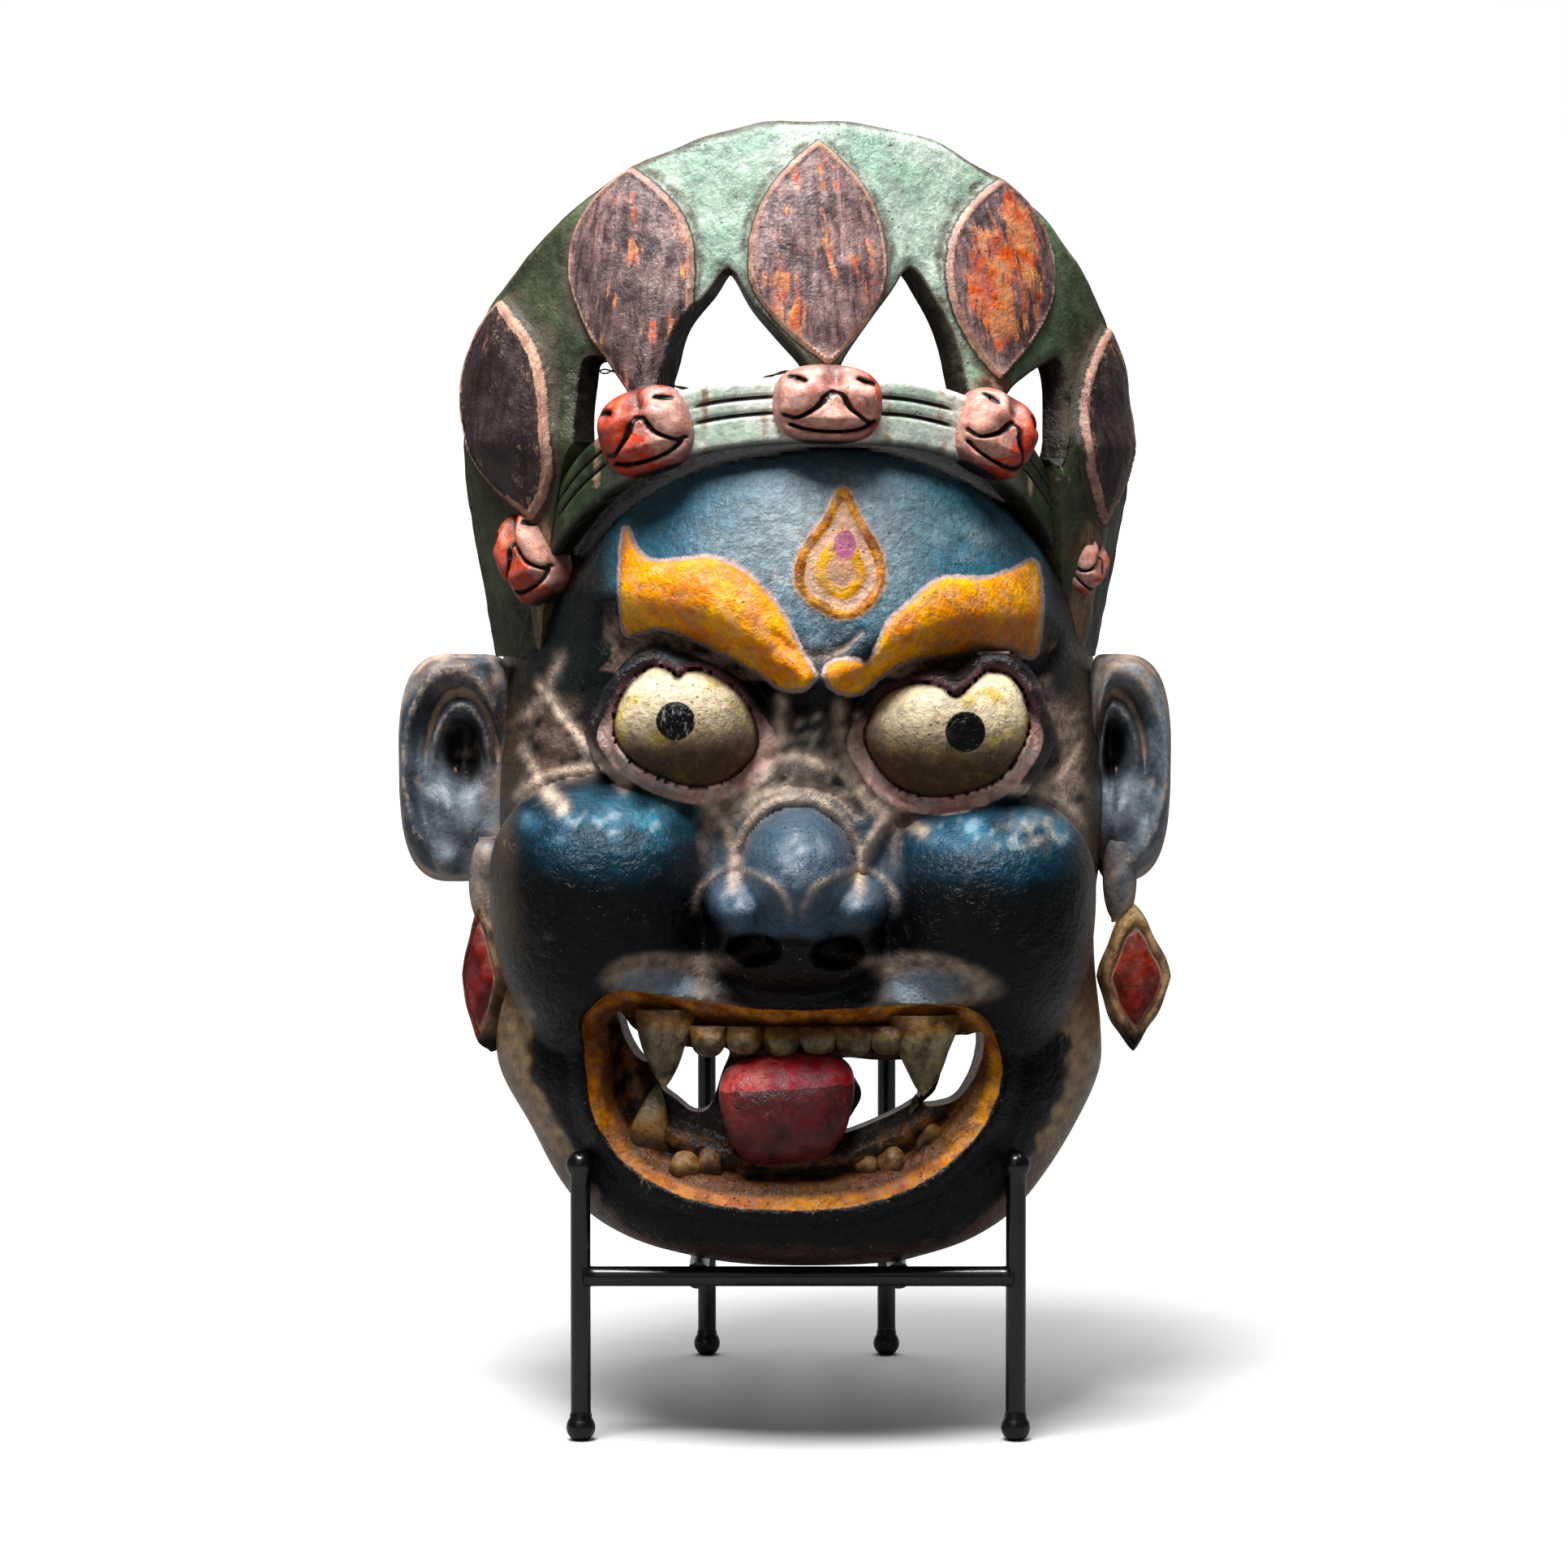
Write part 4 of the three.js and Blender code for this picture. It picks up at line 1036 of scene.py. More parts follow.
def build_head():
    """The head as one wall. Its outer face is the carved depth over the grid; its inner face is the
    plain head with only the broad relief, smoothed, set back by the wall; the gaps of the mouth go
    through both; and the rows at each end fold shut. The paint's colours and the distances to its
    outlines go with the points."""
    x, z, across = head_grid()
    x, z, keep = snapped(x, z, mouth_gap)
    depth, marks = carved(x, z)
    plain, around, middle = plain_head(x, z)
    rim = RIM_Y + RIM_SLOPE * (z - CHIN_Z)
    outer = np.stack([x, np.minimum(-depth, rim), z], -1)

    relief = depth - plain
    low = relief.copy()
    for step in (3, 5):
        for axis in (0, 1):
            low = np.min([np.roll(low, shift, axis) for shift in (-step, 0, step)], 0)
    low = smoothed(low, 5) * np.minimum(1, 1.6 * around)
    rise = WALL * (1 - np.clip((z - CHIN_Z) / 40, 0, 1)) ** 2
    drop = WALL * (1 - np.clip((CAP_Z - z) / 30, 0, 1)) ** 2
    inner_x = x - WALL * np.sign(across) * np.abs(across) ** 3
    inner_y = -(plain + low) + WALL * around
    inner = np.stack([inner_x, np.minimum(inner_y, rim), z + rise - drop], -1)

    outer = folded_ends(outer, middle[[0, -1], 0])
    inner = folded_ends(inner, middle[[0, -1], 0])
    ends = np.ones((END_ROWS, keep.shape[1]), bool)
    keep = np.concatenate([ends, keep, ends])
    points, quads = shell(outer, inner, keep, weld_ends=True)

    hollow, proud = worn_places(depth)
    colour = face_paint(x, z, marks, around)
    eye_middle = np.where(x < 12, 261, 259)
    nostril, cap = marks.pop("nostril"), marks.pop("cap")
    for key in ("crease", "undercut", "cheek"):
        marks.pop(key)
    mouth, eye, brow = marks["mouth"], marks["eye"], marks["brow"]
    in_reach = (1 - nostril) * ease(1, -2, mouth) * ease(2, -1, -cap) * ease(1, -2, eye)
    values = {
        **marks,
        "upper_lid": ease(-6, 8, z - eye_middle),
        "eye_low": ease(14, -14, z - eye_middle),
        "pupil_wear": (x < 12) * 1.0,
        "spot": 4.2 - np.hypot((x - 22), (z - 327) * 0.8),
        "hollow": 0.45 * hollow * in_reach,
        "proud": proud * ease(3, 0, mouth) * ease(3, 0, eye) * ease(4, -2, brow),
        "down": ease(124, 104, z),
        "bare": np.zeros(x.shape),
    }
    values = with_ends(values, END_ROWS)
    plain_back = {"bare": 1.0, "hollow": 0.15, "proud": 0.0}
    blank = {key: np.full(value.shape, plain_back.get(key, -FAR)) for key, value in values.items()}
    values = two_sided(values, blank)
    colour = np.pad(colour, [(END_ROWS, END_ROWS), (0, 0), (0, 0)], "edge")
    colour = np.concatenate([colour, colour])
    material = finished("face_paint", pink_and_ochre, wear=0.3, dusting=0.9, pitting=0.75, bump=1.0,
                        gloss=0.13, shine=0.2, glazed="eye")
    face = make_piece("head", points, quads, material, values, {"paint": colour})
    behind = face.vertex_groups.new(name="behind")
    bare = np.zeros(len(face.data.vertices), np.float32)
    face.data.attributes["bare"].data.foreach_get("value", bare)
    behind.add([int(n) for n in np.nonzero(bare > 0.5)[0]], 1.0, "REPLACE")
    thin = face.modifiers.new("thin_the_back", "DECIMATE")
    thin.vertex_group = "behind"
    thin.ratio = FACES_KEPT
    return face


head = build_head()
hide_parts("mask")


# ---------------------------------------------------------------- the crown

CROWN_X, CROWN_Y, CROWN_RADIUS = -5.3, 154.0, 142.0
CROWN_TURN, CROWN_SPAN = 7.5, 66.0  # turned towards the viewer's right
CROWN_FOOT_Z, CROWN_TOP_Z, CROWN_FALL = 366.0, 487.0, 91.0
PLATE, NECK = 12.0, 13.0  # how thick the plate is, and half the width of a leaf's neck
ARC = CROWN_RADIUS * math.pi / 180  # millimetres along the plate for each degree


def on_crown(angle, z, out):
    """A point of the crown: a cylinder that leans back above its foot and draws in below it."""
    radius = CROWN_RADIUS - 0.2 * np.maximum(0, CROWN_FOOT_Z - z) + out
    radius = radius + ease(30, 60, angle) * (2.5 + 4 * ease(385, 345, z))
    radius = radius - 2.2 * ease(-30, -55, angle) * ease(400, 365, z)
    back = 0.26 * np.maximum(0, z - CROWN_FOOT_Z)
    a = np.radians(angle)
    return np.stack([CROWN_X + radius * np.sin(a), CROWN_Y + back - radius * np.cos(a), z], -1)


def crown_top(angle):
    """Height of the crown's upper edge: a parabola that falls to both sides, with its two corners
    rounded off and a slight wander."""
    t = (angle - CROWN_TURN) / CROWN_SPAN
    corner = 44 * np.clip(1 - (1 - np.abs(t)) * CROWN_SPAN / 9, 0, 1) ** 2.4
    return CROWN_TOP_Z - 0.8 - CROWN_FALL * t * t - corner + 0.7 * ripple(angle, 0 * angle, 9, 21)


def crown_bottom(angle):
    """Height of its lower edge: level in front, with a smooth step down towards each ear."""
    t = np.clip((np.abs(angle - CROWN_TURN) - 38) / 14, 0, 1)
    return CROWN_FOOT_Z - t * t * (3 - 2 * t) * 80


# a leaf: its middle at its widest and at its foot in degrees; its foot, widest place and tip in
# millimetres; half its width; how full it is below; and how much of the width its foot keeps
LEAVES = [
    (-45.0, -40.0, 338, 377, 421, 24.5, 2.8, 0.05),
    (-21.3, -17.6, 384, 430, 469, 25.0, 1.6, 0.38),
    (7.2, 8.6, 394, 429, 478, 25.6, 1.8, 0.03),
    (37.4, 36.0, 390, 429, 467, 25.2, 1.8, 0.03),
    (62.6, 61.0, 337, 372, 413, 22.5, 1.9, 0.05),
]
# a window: its outline, in degrees round the crown and millimetres up
WINDOWS = [
    [(-29.5, 397), (-25.5, 397.5), (-23.2, 389), (-21.3, 381), (-23.5, 372), (-26, 364), (-30, 358),
     (-31, 372), (-30.4, 388)],
    [(-6.2, 430), (-9.4, 421), (-13.6, 409), (-15.4, 396), (-15.9, 382), (-5, 378), (7.2, 381),
     (6.0, 393), (1.6, 405), (-2.4, 416)],
    [(21.9, 431), (18.6, 421), (14.6, 408), (11.0, 395), (10.2, 382), (20, 378), (30.6, 380),
     (30.6, 393), (28.6, 408), (25.4, 421)],
    [(37.8, 381), (42.5, 391), (46.5, 396), (50.5, 399), (52.4, 388), (52, 372), (50, 358),
     (44.5, 366)],
]
WINDOW_LINES = [curve([(a * ARC, z) for a, z in points], steps=4) for points in WINDOWS]


def leaf_distance(s, z, leaf):
    """Distance in mm into a leaf: its half width at a height less the distance from its middle line,
    divided by the slope of that difference, so that it is true near the point and the foot too."""
    middle, foot_middle, foot, widest, tip, half, full, neck = leaf

    def field(s, z):
        up = np.clip((z - widest) / (tip - widest), 0, None)
        down = np.clip((widest - z) / (widest - foot), 0, None)
        width = half * (1 - up**2.5 - (1 - neck) * down**full)
        width = np.where(down > 1, half * neck - (down - 1) * 60, width)
        line = (middle + (foot_middle - middle) * np.clip(down, 0, 1) ** 1.5) * ARC
        return width - np.abs(s - line)

    value = field(s, z)
    slope = np.hypot((field(s + 0.2, z) - value) / 0.2, (field(s, z + 0.2) - value) / 0.2)
    return np.clip(value / np.maximum(slope, 1.0), -FAR, FAR)


def window_distance(s, z):
    """Distance in mm into the nearest window, above nothing inside it."""
    return np.max([inside(s, z, outline, 6.0) for outline in WINDOW_LINES], 0)


def crown_colours(nodes):
    """Mint green, darker towards the ears, with brown-purple leaves streaked by older orange paint."""
    where = nodes.place()
    light = nodes.value("light")
    patch = nodes.noise(where, 26, 4, 0.6)
    pale = nodes.mottled(patch, (150, 180, 160), (196, 214, 198), 0.4, 0.62)
    mid = nodes.mottled(patch, (84, 112, 76), (116, 146, 112), 0.4, 0.62)
    deep = nodes.mottled(patch, (46, 50, 36), (74, 82, 56), 0.4, 0.62)
    # painted light and shade: pale in front and high up, deep green towards the ears
    green = nodes.mix(nodes.span(light, 0.5, 1.0), mid, pale)
    green = nodes.mix(nodes.span(light, 0.5, 0.0), green, deep)
    stain = nodes.span(nodes.noise(where, 60, 5, 0.7), 0.56, 0.7, 0.0, 0.55)
    green = nodes.mix(stain, green, (60, 62, 46))
    grain = nodes.noise(nodes.place(0.45), 420, 4, 0.7)
    green = nodes.mix(nodes.span(grain, 0.52, 0.74, 0.0, 0.5), green, (58, 66, 46))
    wood = nodes.mottled(nodes.noise(nodes.place(0.15), 260, 4), (88, 62, 46), (150, 116, 88))
    green = nodes.mix(nodes.value("neck"), green, wood)
    # leaves
    streaks = nodes.noise(nodes.place(0.1), 330, 5, 0.7, 0.3)
    plum = nodes.mottled(streaks, (88, 64, 66), (164, 132, 128))
    plum = nodes.mix(nodes.span(nodes.noise(where, 45, 3), 0.45, 0.7, 0.0, 0.8), plum, (52, 42, 46))
    plum = nodes.mix(nodes.value("shade"), plum, (34, 27, 29))
    islands = nodes.noise(nodes.place(0.28), 95, 5, 0.62, 0.4)
    showing = nodes.total((islands, 0.6), (streaks, 0.4), (nodes.value("orange"), 0.16))
    older = nodes.mottled(nodes.noise(where, 120, 3), (206, 88, 48), (214, 138, 88), 0.4, 0.6)
    leaf = nodes.mix(nodes.span(showing, 0.6, 0.66), plum, older)
    border = nodes.mottled(nodes.noise(where, 130, 4), (168, 118, 104), (196, 152, 130), 0.4, 0.6)
    # painted shade: a thin dark line round the raised edge of each leaf
    green = region(nodes, "leaf", green, border, (52, 44, 36), 0.7, 0.5)
    green = region(nodes, "leaf_inside", green, leaf, waver=1.0)
    chipped = nodes.jogged(nodes.value("edge"), patch, 12.0)
    green = nodes.mix(nodes.span(chipped, 3.6, 0.4, 0.0, 0.85), green, (70, 62, 46))
    back = nodes.mottled(patch, (60, 46, 34), (104, 82, 58))
    green = nodes.mix(nodes.value("bare"), green, back)
    # painted shade: the walls of the windows near black
    cut = nodes.plus(nodes.value("window"), nodes.times(patch, 1.4))
    return nodes.mix(nodes.span(cut, -0.5, 0.3, 0.0, 0.95), green, (20, 15, 13))


def build_crown():
    """The crown as one wall, over degrees round a cylinder and heights between its two edges: the
    leaves, their necks and an uneven surface push the front out, the back is plain, and the
    windows go through."""
    angle = CROWN_TURN + np.linspace(-CROWN_SPAN, CROWN_SPAN, 268)
    t = np.linspace(0, 1, 106)[:, None]
    z = crown_bottom(angle) + (crown_top(angle) - crown_bottom(angle)) * t
    s = np.repeat((angle * ARC)[None], len(t), 0)
    s, z, keep = snapped(s, z, window_distance)
    angle = s / ARC
    leaves = np.array([leaf_distance(s, z, leaf) for leaf in LEAVES])
    leaf = leaves.max(0)
    which = leaves.argmax(0)
    crowned = 2.2 * ease(0, 18, leaf)
    out = 4.2 * ease(-1.2, 1.2, leaf) + crowned - 0.7 * ease(1.6, 2.6, leaf) + 0.5 * ease(2.6, 4, leaf)
    # necks: below each leaf a rounded post runs down to the diadem
    neck = np.zeros(s.shape)
    for _, foot_middle, foot, *_ in LEAVES:
        across = np.abs(s - foot_middle * ARC) / NECK
        neck = np.maximum(neck, np.clip(1 - across**2, 0, 1) * ease(foot + 8, foot - 8, z))
    gap = window_distance(s, z)
    out = out + 3 * neck - 1.6 * ease(-5, 0, gap)
    top_edge = crown_top(angle) - z
    out = out - 1.8 * ease(3.5, 0, top_edge) + 0.35 * ripple(s, z, 30, 22) + 0.15 * ripple(s, z, 8, 23)
    outer = on_crown(angle, z, out)
    inner_out = -PLATE + 1.6 * ease(4, 0, top_edge) + 0.4 * ripple(s, z, 36, 24)
    # the windows were cut from the front and narrow towards the back
    slant = 2.0 * ease(-9, 0, gap)
    into_s = (window_distance(s + 0.3, z) - gap) / 0.3
    into_z = (window_distance(s, z + 0.3) - gap) / 0.3
    inner = on_crown((s + slant * into_s) / ARC, z + slant * into_z, inner_out)
    points, quads = shell(outer, inner, keep)
    hollow, proud = worn_places(out)
    off_middle = np.abs(angle - 6)
    values = {
        "leaf": leaf,
        "leaf_inside": leaf - 1.9 - 1.6 * ((which == 0) & (s > -45 * ARC)) - 1.2 * (which == 4),
        # painted light: high in front and near the top, low towards the ears
        "light": ease(52, 24, off_middle + 9 * ease(0, -20, angle)) * ease(340, 420, z),
        "neck": ease(0.15, 0.5, neck) * (leaf < 0),
        "shade": np.isin(which, (0, 4)) * 0.85 + (which == 1) * (0.2 + 0.4 * ease(430, 390, z)),
        "orange": (which == 3) * 1.0 * ease(0, 9, leaf) + (which == 2) * 0.35 + (which == 1) * 0.3,
        "window": gap,
        "edge": top_edge,
        "hollow": hollow,
        "proud": proud,
        "bare": np.zeros(s.shape),
    }
    none = np.zeros(s.shape)
    blank = {key: none for key in values}
    blank.update(leaf=none - FAR, leaf_inside=none - FAR, bare=none + 1)
    blank.update(window=gap + 2.5, edge=top_edge)
    values = two_sided(values, blank)
    material = finished("crown_paint", crown_colours, wear=0.45, dusting=0.5, pitting=0.9, bump=0.7,
                        ground=(168, 140, 112), dust=(84, 72, 58))
    return make_piece("crown", points, quads, material, values)


crown = build_crown()
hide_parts("mask")


# ---------------------------------------------------------------- the diadem

DIADEM_HEIGHT = 25.0


def on_diadem(angle, out, up):
    """The diadem's face: a wrap that drops and draws in towards the ears."""
    fall = 54 * (np.abs(angle - CROWN_TURN) / 54) ** 2.7
    draw = 0.2 * fall
    a = np.radians(angle)
    across = -2.2 + (137 - draw + out) * np.sin(a)
    back = 154 - (152 - draw + out) * np.cos(a)
    return np.stack(np.broadcast_arrays(across, back, 376 - fall + up), -1)


SKULL_ANGLES = [CROWN_TURN + 28.2 * place for place in (-1.92, -1, 0, 1, 1.95)]


def diadem_colours(nodes):
    """Pale green in front and deep green at the sides as painted light, bare ground beside the skulls.
    """
    where = nodes.place()
    patch = nodes.noise(where, 40, 4, 0.6)
    pale = nodes.mottled(patch, (190, 210, 190), (236, 242, 230), 0.4, 0.62)
    deep = nodes.mottled(patch, (40, 52, 36), (66, 82, 54), 0.4, 0.62)
    green = nodes.mix(nodes.value("light"), deep, pale)
    tan = nodes.mottled(patch, (150, 118, 94), (206, 180, 156), 0.4, 0.62)
    ground = nodes.plus(nodes.value("beside"), nodes.noise(where, 110, 4, 0.6))
    green = nodes.mix(nodes.span(ground, 1.42, 1.6), green, tan)
    # painted shade along the lower edge of the band
    green = nodes.mix(nodes.value("below"), green, (36, 36, 28))
    return nodes.mix(nodes.span(nodes.value("cut"), 0.25, 0.6), green, (30, 28, 22))


def build_diadem():
    """A band with rounded edges and two cut lines between each two skulls, carried round the head,
    on a plain back that thins out towards its ends."""
    angle = (CROWN_TURN + np.linspace(-62, 62, 300))[:, None]
    half = DIADEM_HEIGHT / 2
    up_face = np.linspace(-half, half, 30)
    over_edge = np.clip((np.abs(up_face) - half + 3) / 3, 0, 1)
    round_edge = 3 * (1 - np.sqrt(np.clip(1 - over_edge**2, 0, 1)))
    fine_angle = np.repeat(angle, len(up_face), 1)
    cut = np.zeros(fine_angle.shape)
    for left, right in zip(SKULL_ANGLES, SKULL_ANGLES[1:]):
        for level in (-1.5, 4.5):
            t = (fine_angle - left) / (right - left)
            line = level + 0.8 * np.sin(3 * t)
            along = ease(0.2, 0.34, t) * ease(0.8, 0.66, t)
            cut = np.maximum(cut, along * np.exp(-(((up_face - line) / 0.75) ** 2)))
    wave = 0.35 * ripple(fine_angle * 2.4, up_face + 0 * angle, 20, 31)
    face_out = wave - round_edge - 1.6 * cut
    behind = np.array([(half - 1, -6), (half - 2, -14), (-half + 2, -13), (-half + 1, -6)])
    thinned = 1 - 0.85 * ease(44, 58, np.abs(angle - CROWN_TURN))
    out = np.concatenate([face_out, behind[None, :, 1] * thinned], 1)
    up = np.concatenate([up_face, behind[:, 0]])[None, :] + 0 * angle
    grid = on_diadem(angle, out, up + 0.3 * ripple(angle * 2.4, up, 40, 32))
    points, quads = ringed(grid)
    hollow, proud = worn_places(out)
    # painted light: pale in front, deep towards the sides
    light = ease(38, 24, np.abs(angle - CROWN_TURN)) + 0 * out
    cut = np.pad(cut, [(0, 0), (0, len(behind))])
    flanks = [at + turn for at in SKULL_ANGLES[1:4] for turn in (-9.5, 9.5)]
    beside = sum(np.exp(-(((angle - at) / 2.2) ** 2)) for at in flanks)
    below = np.repeat(ease(3 - half, 0.5 - half, up[:1]) * 0.85, len(angle), 0)
    values = {"cut": cut, "light": light, "hollow": np.clip(hollow, 0, 0.5), "proud": proud * 0.5,
              "beside": np.clip(beside, 0, 1) + 0 * out, "below": below}
    material = finished("diadem_paint", diadem_colours, wear=0.45, dusting=0.5, pitting=0.9, bump=0.4,
                        ground=(170, 150, 120), dust=(120, 104, 84))
    return make_piece("diadem", points, quads, material, with_ends(values))


diadem = build_diadem()
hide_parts("mask")


def skull_colours(nodes):
    """Pink flesh, orange-red where the first coat still shows, black in the cuts, painted shade in the
    hollows and beneath.
    """
    where = nodes.place()
    mottled = nodes.noise(where, 160, 4, 0.65)
    pink = nodes.mottled(mottled, (196, 124, 112), (240, 184, 166))
    red = nodes.mottled(mottled, (176, 56, 34), (218, 86, 52))
    amount = nodes.jogged(nodes.value("red"), mottled, 1.4)
    flesh = nodes.mix(nodes.span(amount, 0.42, 0.58), pink, red)
    shade_in_hollows = nodes.times(nodes.value("shade_in_hollows"), nodes.span(mottled, 0.3, 0.6, 0.3, 1.0))
    flesh = nodes.mix(shade_in_hollows, flesh, (92, 44, 38))
    flesh = nodes.mix(nodes.value("under"), flesh, (40, 28, 26))
    return nodes.mix(nodes.span(nodes.value("cut"), 0.3, 0.62), flesh, (22, 16, 15))


# carved lines of a skull, across and up in half sizes: eye slits, the bow of the upper lip, the smile
SKULL_LINES = [
    ([(-0.66, 0.56), (-0.52, 0.52), (-0.38, 0.44)], 0.075),
    ([(0.42, 0.52), (0.58, 0.46), (0.74, 0.4)], 0.07),
    ([(-0.8, -0.2), (-0.5, -0.27), (-0.17, -0.06), (0.05, 0.17), (0.28, -0.1), (0.62, -0.33),
      (0.84, -0.3)], 0.05),
    ([(-0.66, -0.44), (-0.31, -0.58), (0.08, -0.63), (0.46, -0.54), (0.7, -0.4)], 0.055),
]


def skull_relief(a, b):
    """A death's head in half sizes: two round cheeks that part over a muzzle, sunken eyes, a lower
    lip, and the carved lines."""
    cut = np.zeros(a.shape)
    for points, wide in SKULL_LINES:
        away = off_line(a, b, curve(points, closed=False, steps=5), reach=0.5)
        cut = np.maximum(cut, np.exp(-((away / wide) ** 2)))
    parting = -0.42 * np.exp(-(((a - 0.05) / 0.13) ** 2)) * ease(0.05, 0.4, b)

    def lump(across, up, wide, high):
        return np.exp(-(((a - across) / wide) ** 2) - ((b - up) / high) ** 2)

    cheeks = 0.3 * lump(-0.44, 0.16, 0.34, 0.4) + 0.3 * lump(0.5, 0.16, 0.34, 0.4)
    sockets = -0.26 * lump(-0.52, 0.42, 0.15, 0.16) - 0.26 * lump(0.54, 0.36, 0.15, 0.16)
    muzzle = 0.2 * lump(0.05, -0.32, 0.42, 0.16)
    lower = 0.14 * np.exp(-(((b + 0.8 - 0.12 * a * a) / 0.12) ** 2))
    mouth = -0.12 * np.exp(-(((b + 0.5 - 0.25 * a * a) / 0.09) ** 2)) * ease(0.95, 0.7, np.abs(a))
    relief = parting + cheeks + sockets + muzzle + lower + mouth - 0.2 * cut
    return relief, np.maximum(cut, -sockets * 1.7)


# half sizes, lean, and where the red coat shows: its middle across and its strength
SKULLS = [
    ((12.5, 18.5, 12), -22, (-0.1, 0.8)),
    ((18.0, 16.0, 13), -16, (-0.45, 1.2)),
    ((20.0, 14.4, 13), 1, (1.05, 0.5)),
    ((16.5, 16.0, 13), 24, (0.5, 0.9)),
    ((9.0, 13.0, 10), 20, (0.2, 0.5)),
]


def build_skulls():
    """Each skull is a ball of rings round its own forward axis, pushed out and in by the relief."""
    polar = np.linspace(0, np.pi, 46)[:, None]
    turn = full_turn(88)[None]
    a = np.sin(polar) ** 0.9 * np.cos(turn)
    b = np.sin(polar) ** 0.9 * np.sin(turn)
    box_a = np.sign(a) * np.abs(a) ** 0.76
    box_b = np.sign(b) * np.abs(b) ** 0.74
    ahead = np.cos(polar) + 0 * turn
    carved_by, cut = skull_relief(a, b)
    in_front = ease(0.0, 0.25, ahead)
    rim = np.hypot(a, b)
    same = {
        "cut": cut * in_front,
        # painted shade: dark beneath and round the edge
        "under": ease(-0.84, -0.97, b) * 0.95 + ease(0.8, 1.0, rim) * 0.4,
        "hollow": 0.25 * cut,
        "proud": np.clip(carved_by * 3 - 0.1, 0, 1),
        # painted shade: darker in the hollows of the relief and towards the bottom
        "shade_in_hollows": np.clip(-2.6 * carved_by, 0, 1) * in_front + 0.5 * ease(-0.55, -0.9, b),
    }
    parts, marks = [], []
    for angle, (size, lean, (red_at, red)) in zip(SKULL_ANGLES, SKULLS):
        swollen = 1 + carved_by * in_front
        local = np.stack([box_a * size[0], -ahead * size[2] * swollen, box_b * size[1]], -1)
        local[..., 0] *= 1 + 0.25 * carved_by * in_front
        roll = math.radians(lean)
        yaw = math.radians(0.8 * angle)
        rolled = about_z(-roll)[np.ix_((0, 2, 1), (0, 2, 1))]  # the same turn, about the way ahead
        at = on_diadem(np.array(angle), 3.5 * (angle > 50), 2.0)
        placed = local @ (about_z(yaw) @ rolled).T + at
        parts.append(ringed(placed[1:-1]))
        reddened = red * np.exp(-(((a - red_at) / 0.6) ** 2)) + 0.3 * ease(0.7, 0.95, rim)
        marks.append(with_ends({key: value[1:-1] for key, value in (*same.items(), ("red", reddened))}))
    points, quads = together(parts)
    values = {key: np.concatenate([each[key].ravel() for each in marks]) for key in marks[0]}
    material = finished("skull_paint", skull_colours, wear=0.35, dusting=0.3, pitting=0.7, bump=0.4,
                        ground=(214, 170, 150), dust=(120, 90, 80))
    return make_piece("skulls", points, quads, material, values)


skulls = build_skulls()
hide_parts("mask")


# ---------------------------------------------------------------- ears and ear drops

EAR_ROWS, EAR_AROUND = 44, 108
EAR_Z, EAR_HIGH = 243, 44  # middle, and half the height
EAR_FRONT_Y, EAR_THICK = 87, 23


def ear_front(p, q):
    """The carving of an ear over p, out from the head, and q, up, both in half sizes: a broad rolled
    edge over the top and down the outer side, a fold that arches inside it, the dark bowl, and a
    swollen lobe. Millimetres towards the viewer."""
    away = np.hypot(p, q)
    edge = 7 * np.exp(-(((away - 0.86) / 0.15) ** 2)) * ease(-0.75, -0.3, p + 0.6 * q)
    arch = np.hypot((p + 0.12) / 0.95, (q - 0.02) / 1.0)
    fold = 5 * np.exp(-(((arch - 0.5) / 0.09) ** 2)) * ease(-0.1, 0.25, q)
    channel = -4 * np.exp(-(((arch - 0.66) / 0.07) ** 2)) * ease(-0.1, 0.2, q)
    bowl = -12 * np.exp(-(((p + 0.16) / 0.34) ** 2) - ((q - 0.14) / 0.3) ** 2)
    lobe = 9 * np.exp(-(((p - 0.05) / 0.5) ** 2) - ((q + 0.46) / 0.3) ** 2)
    return edge + channel + fold + bowl + lobe


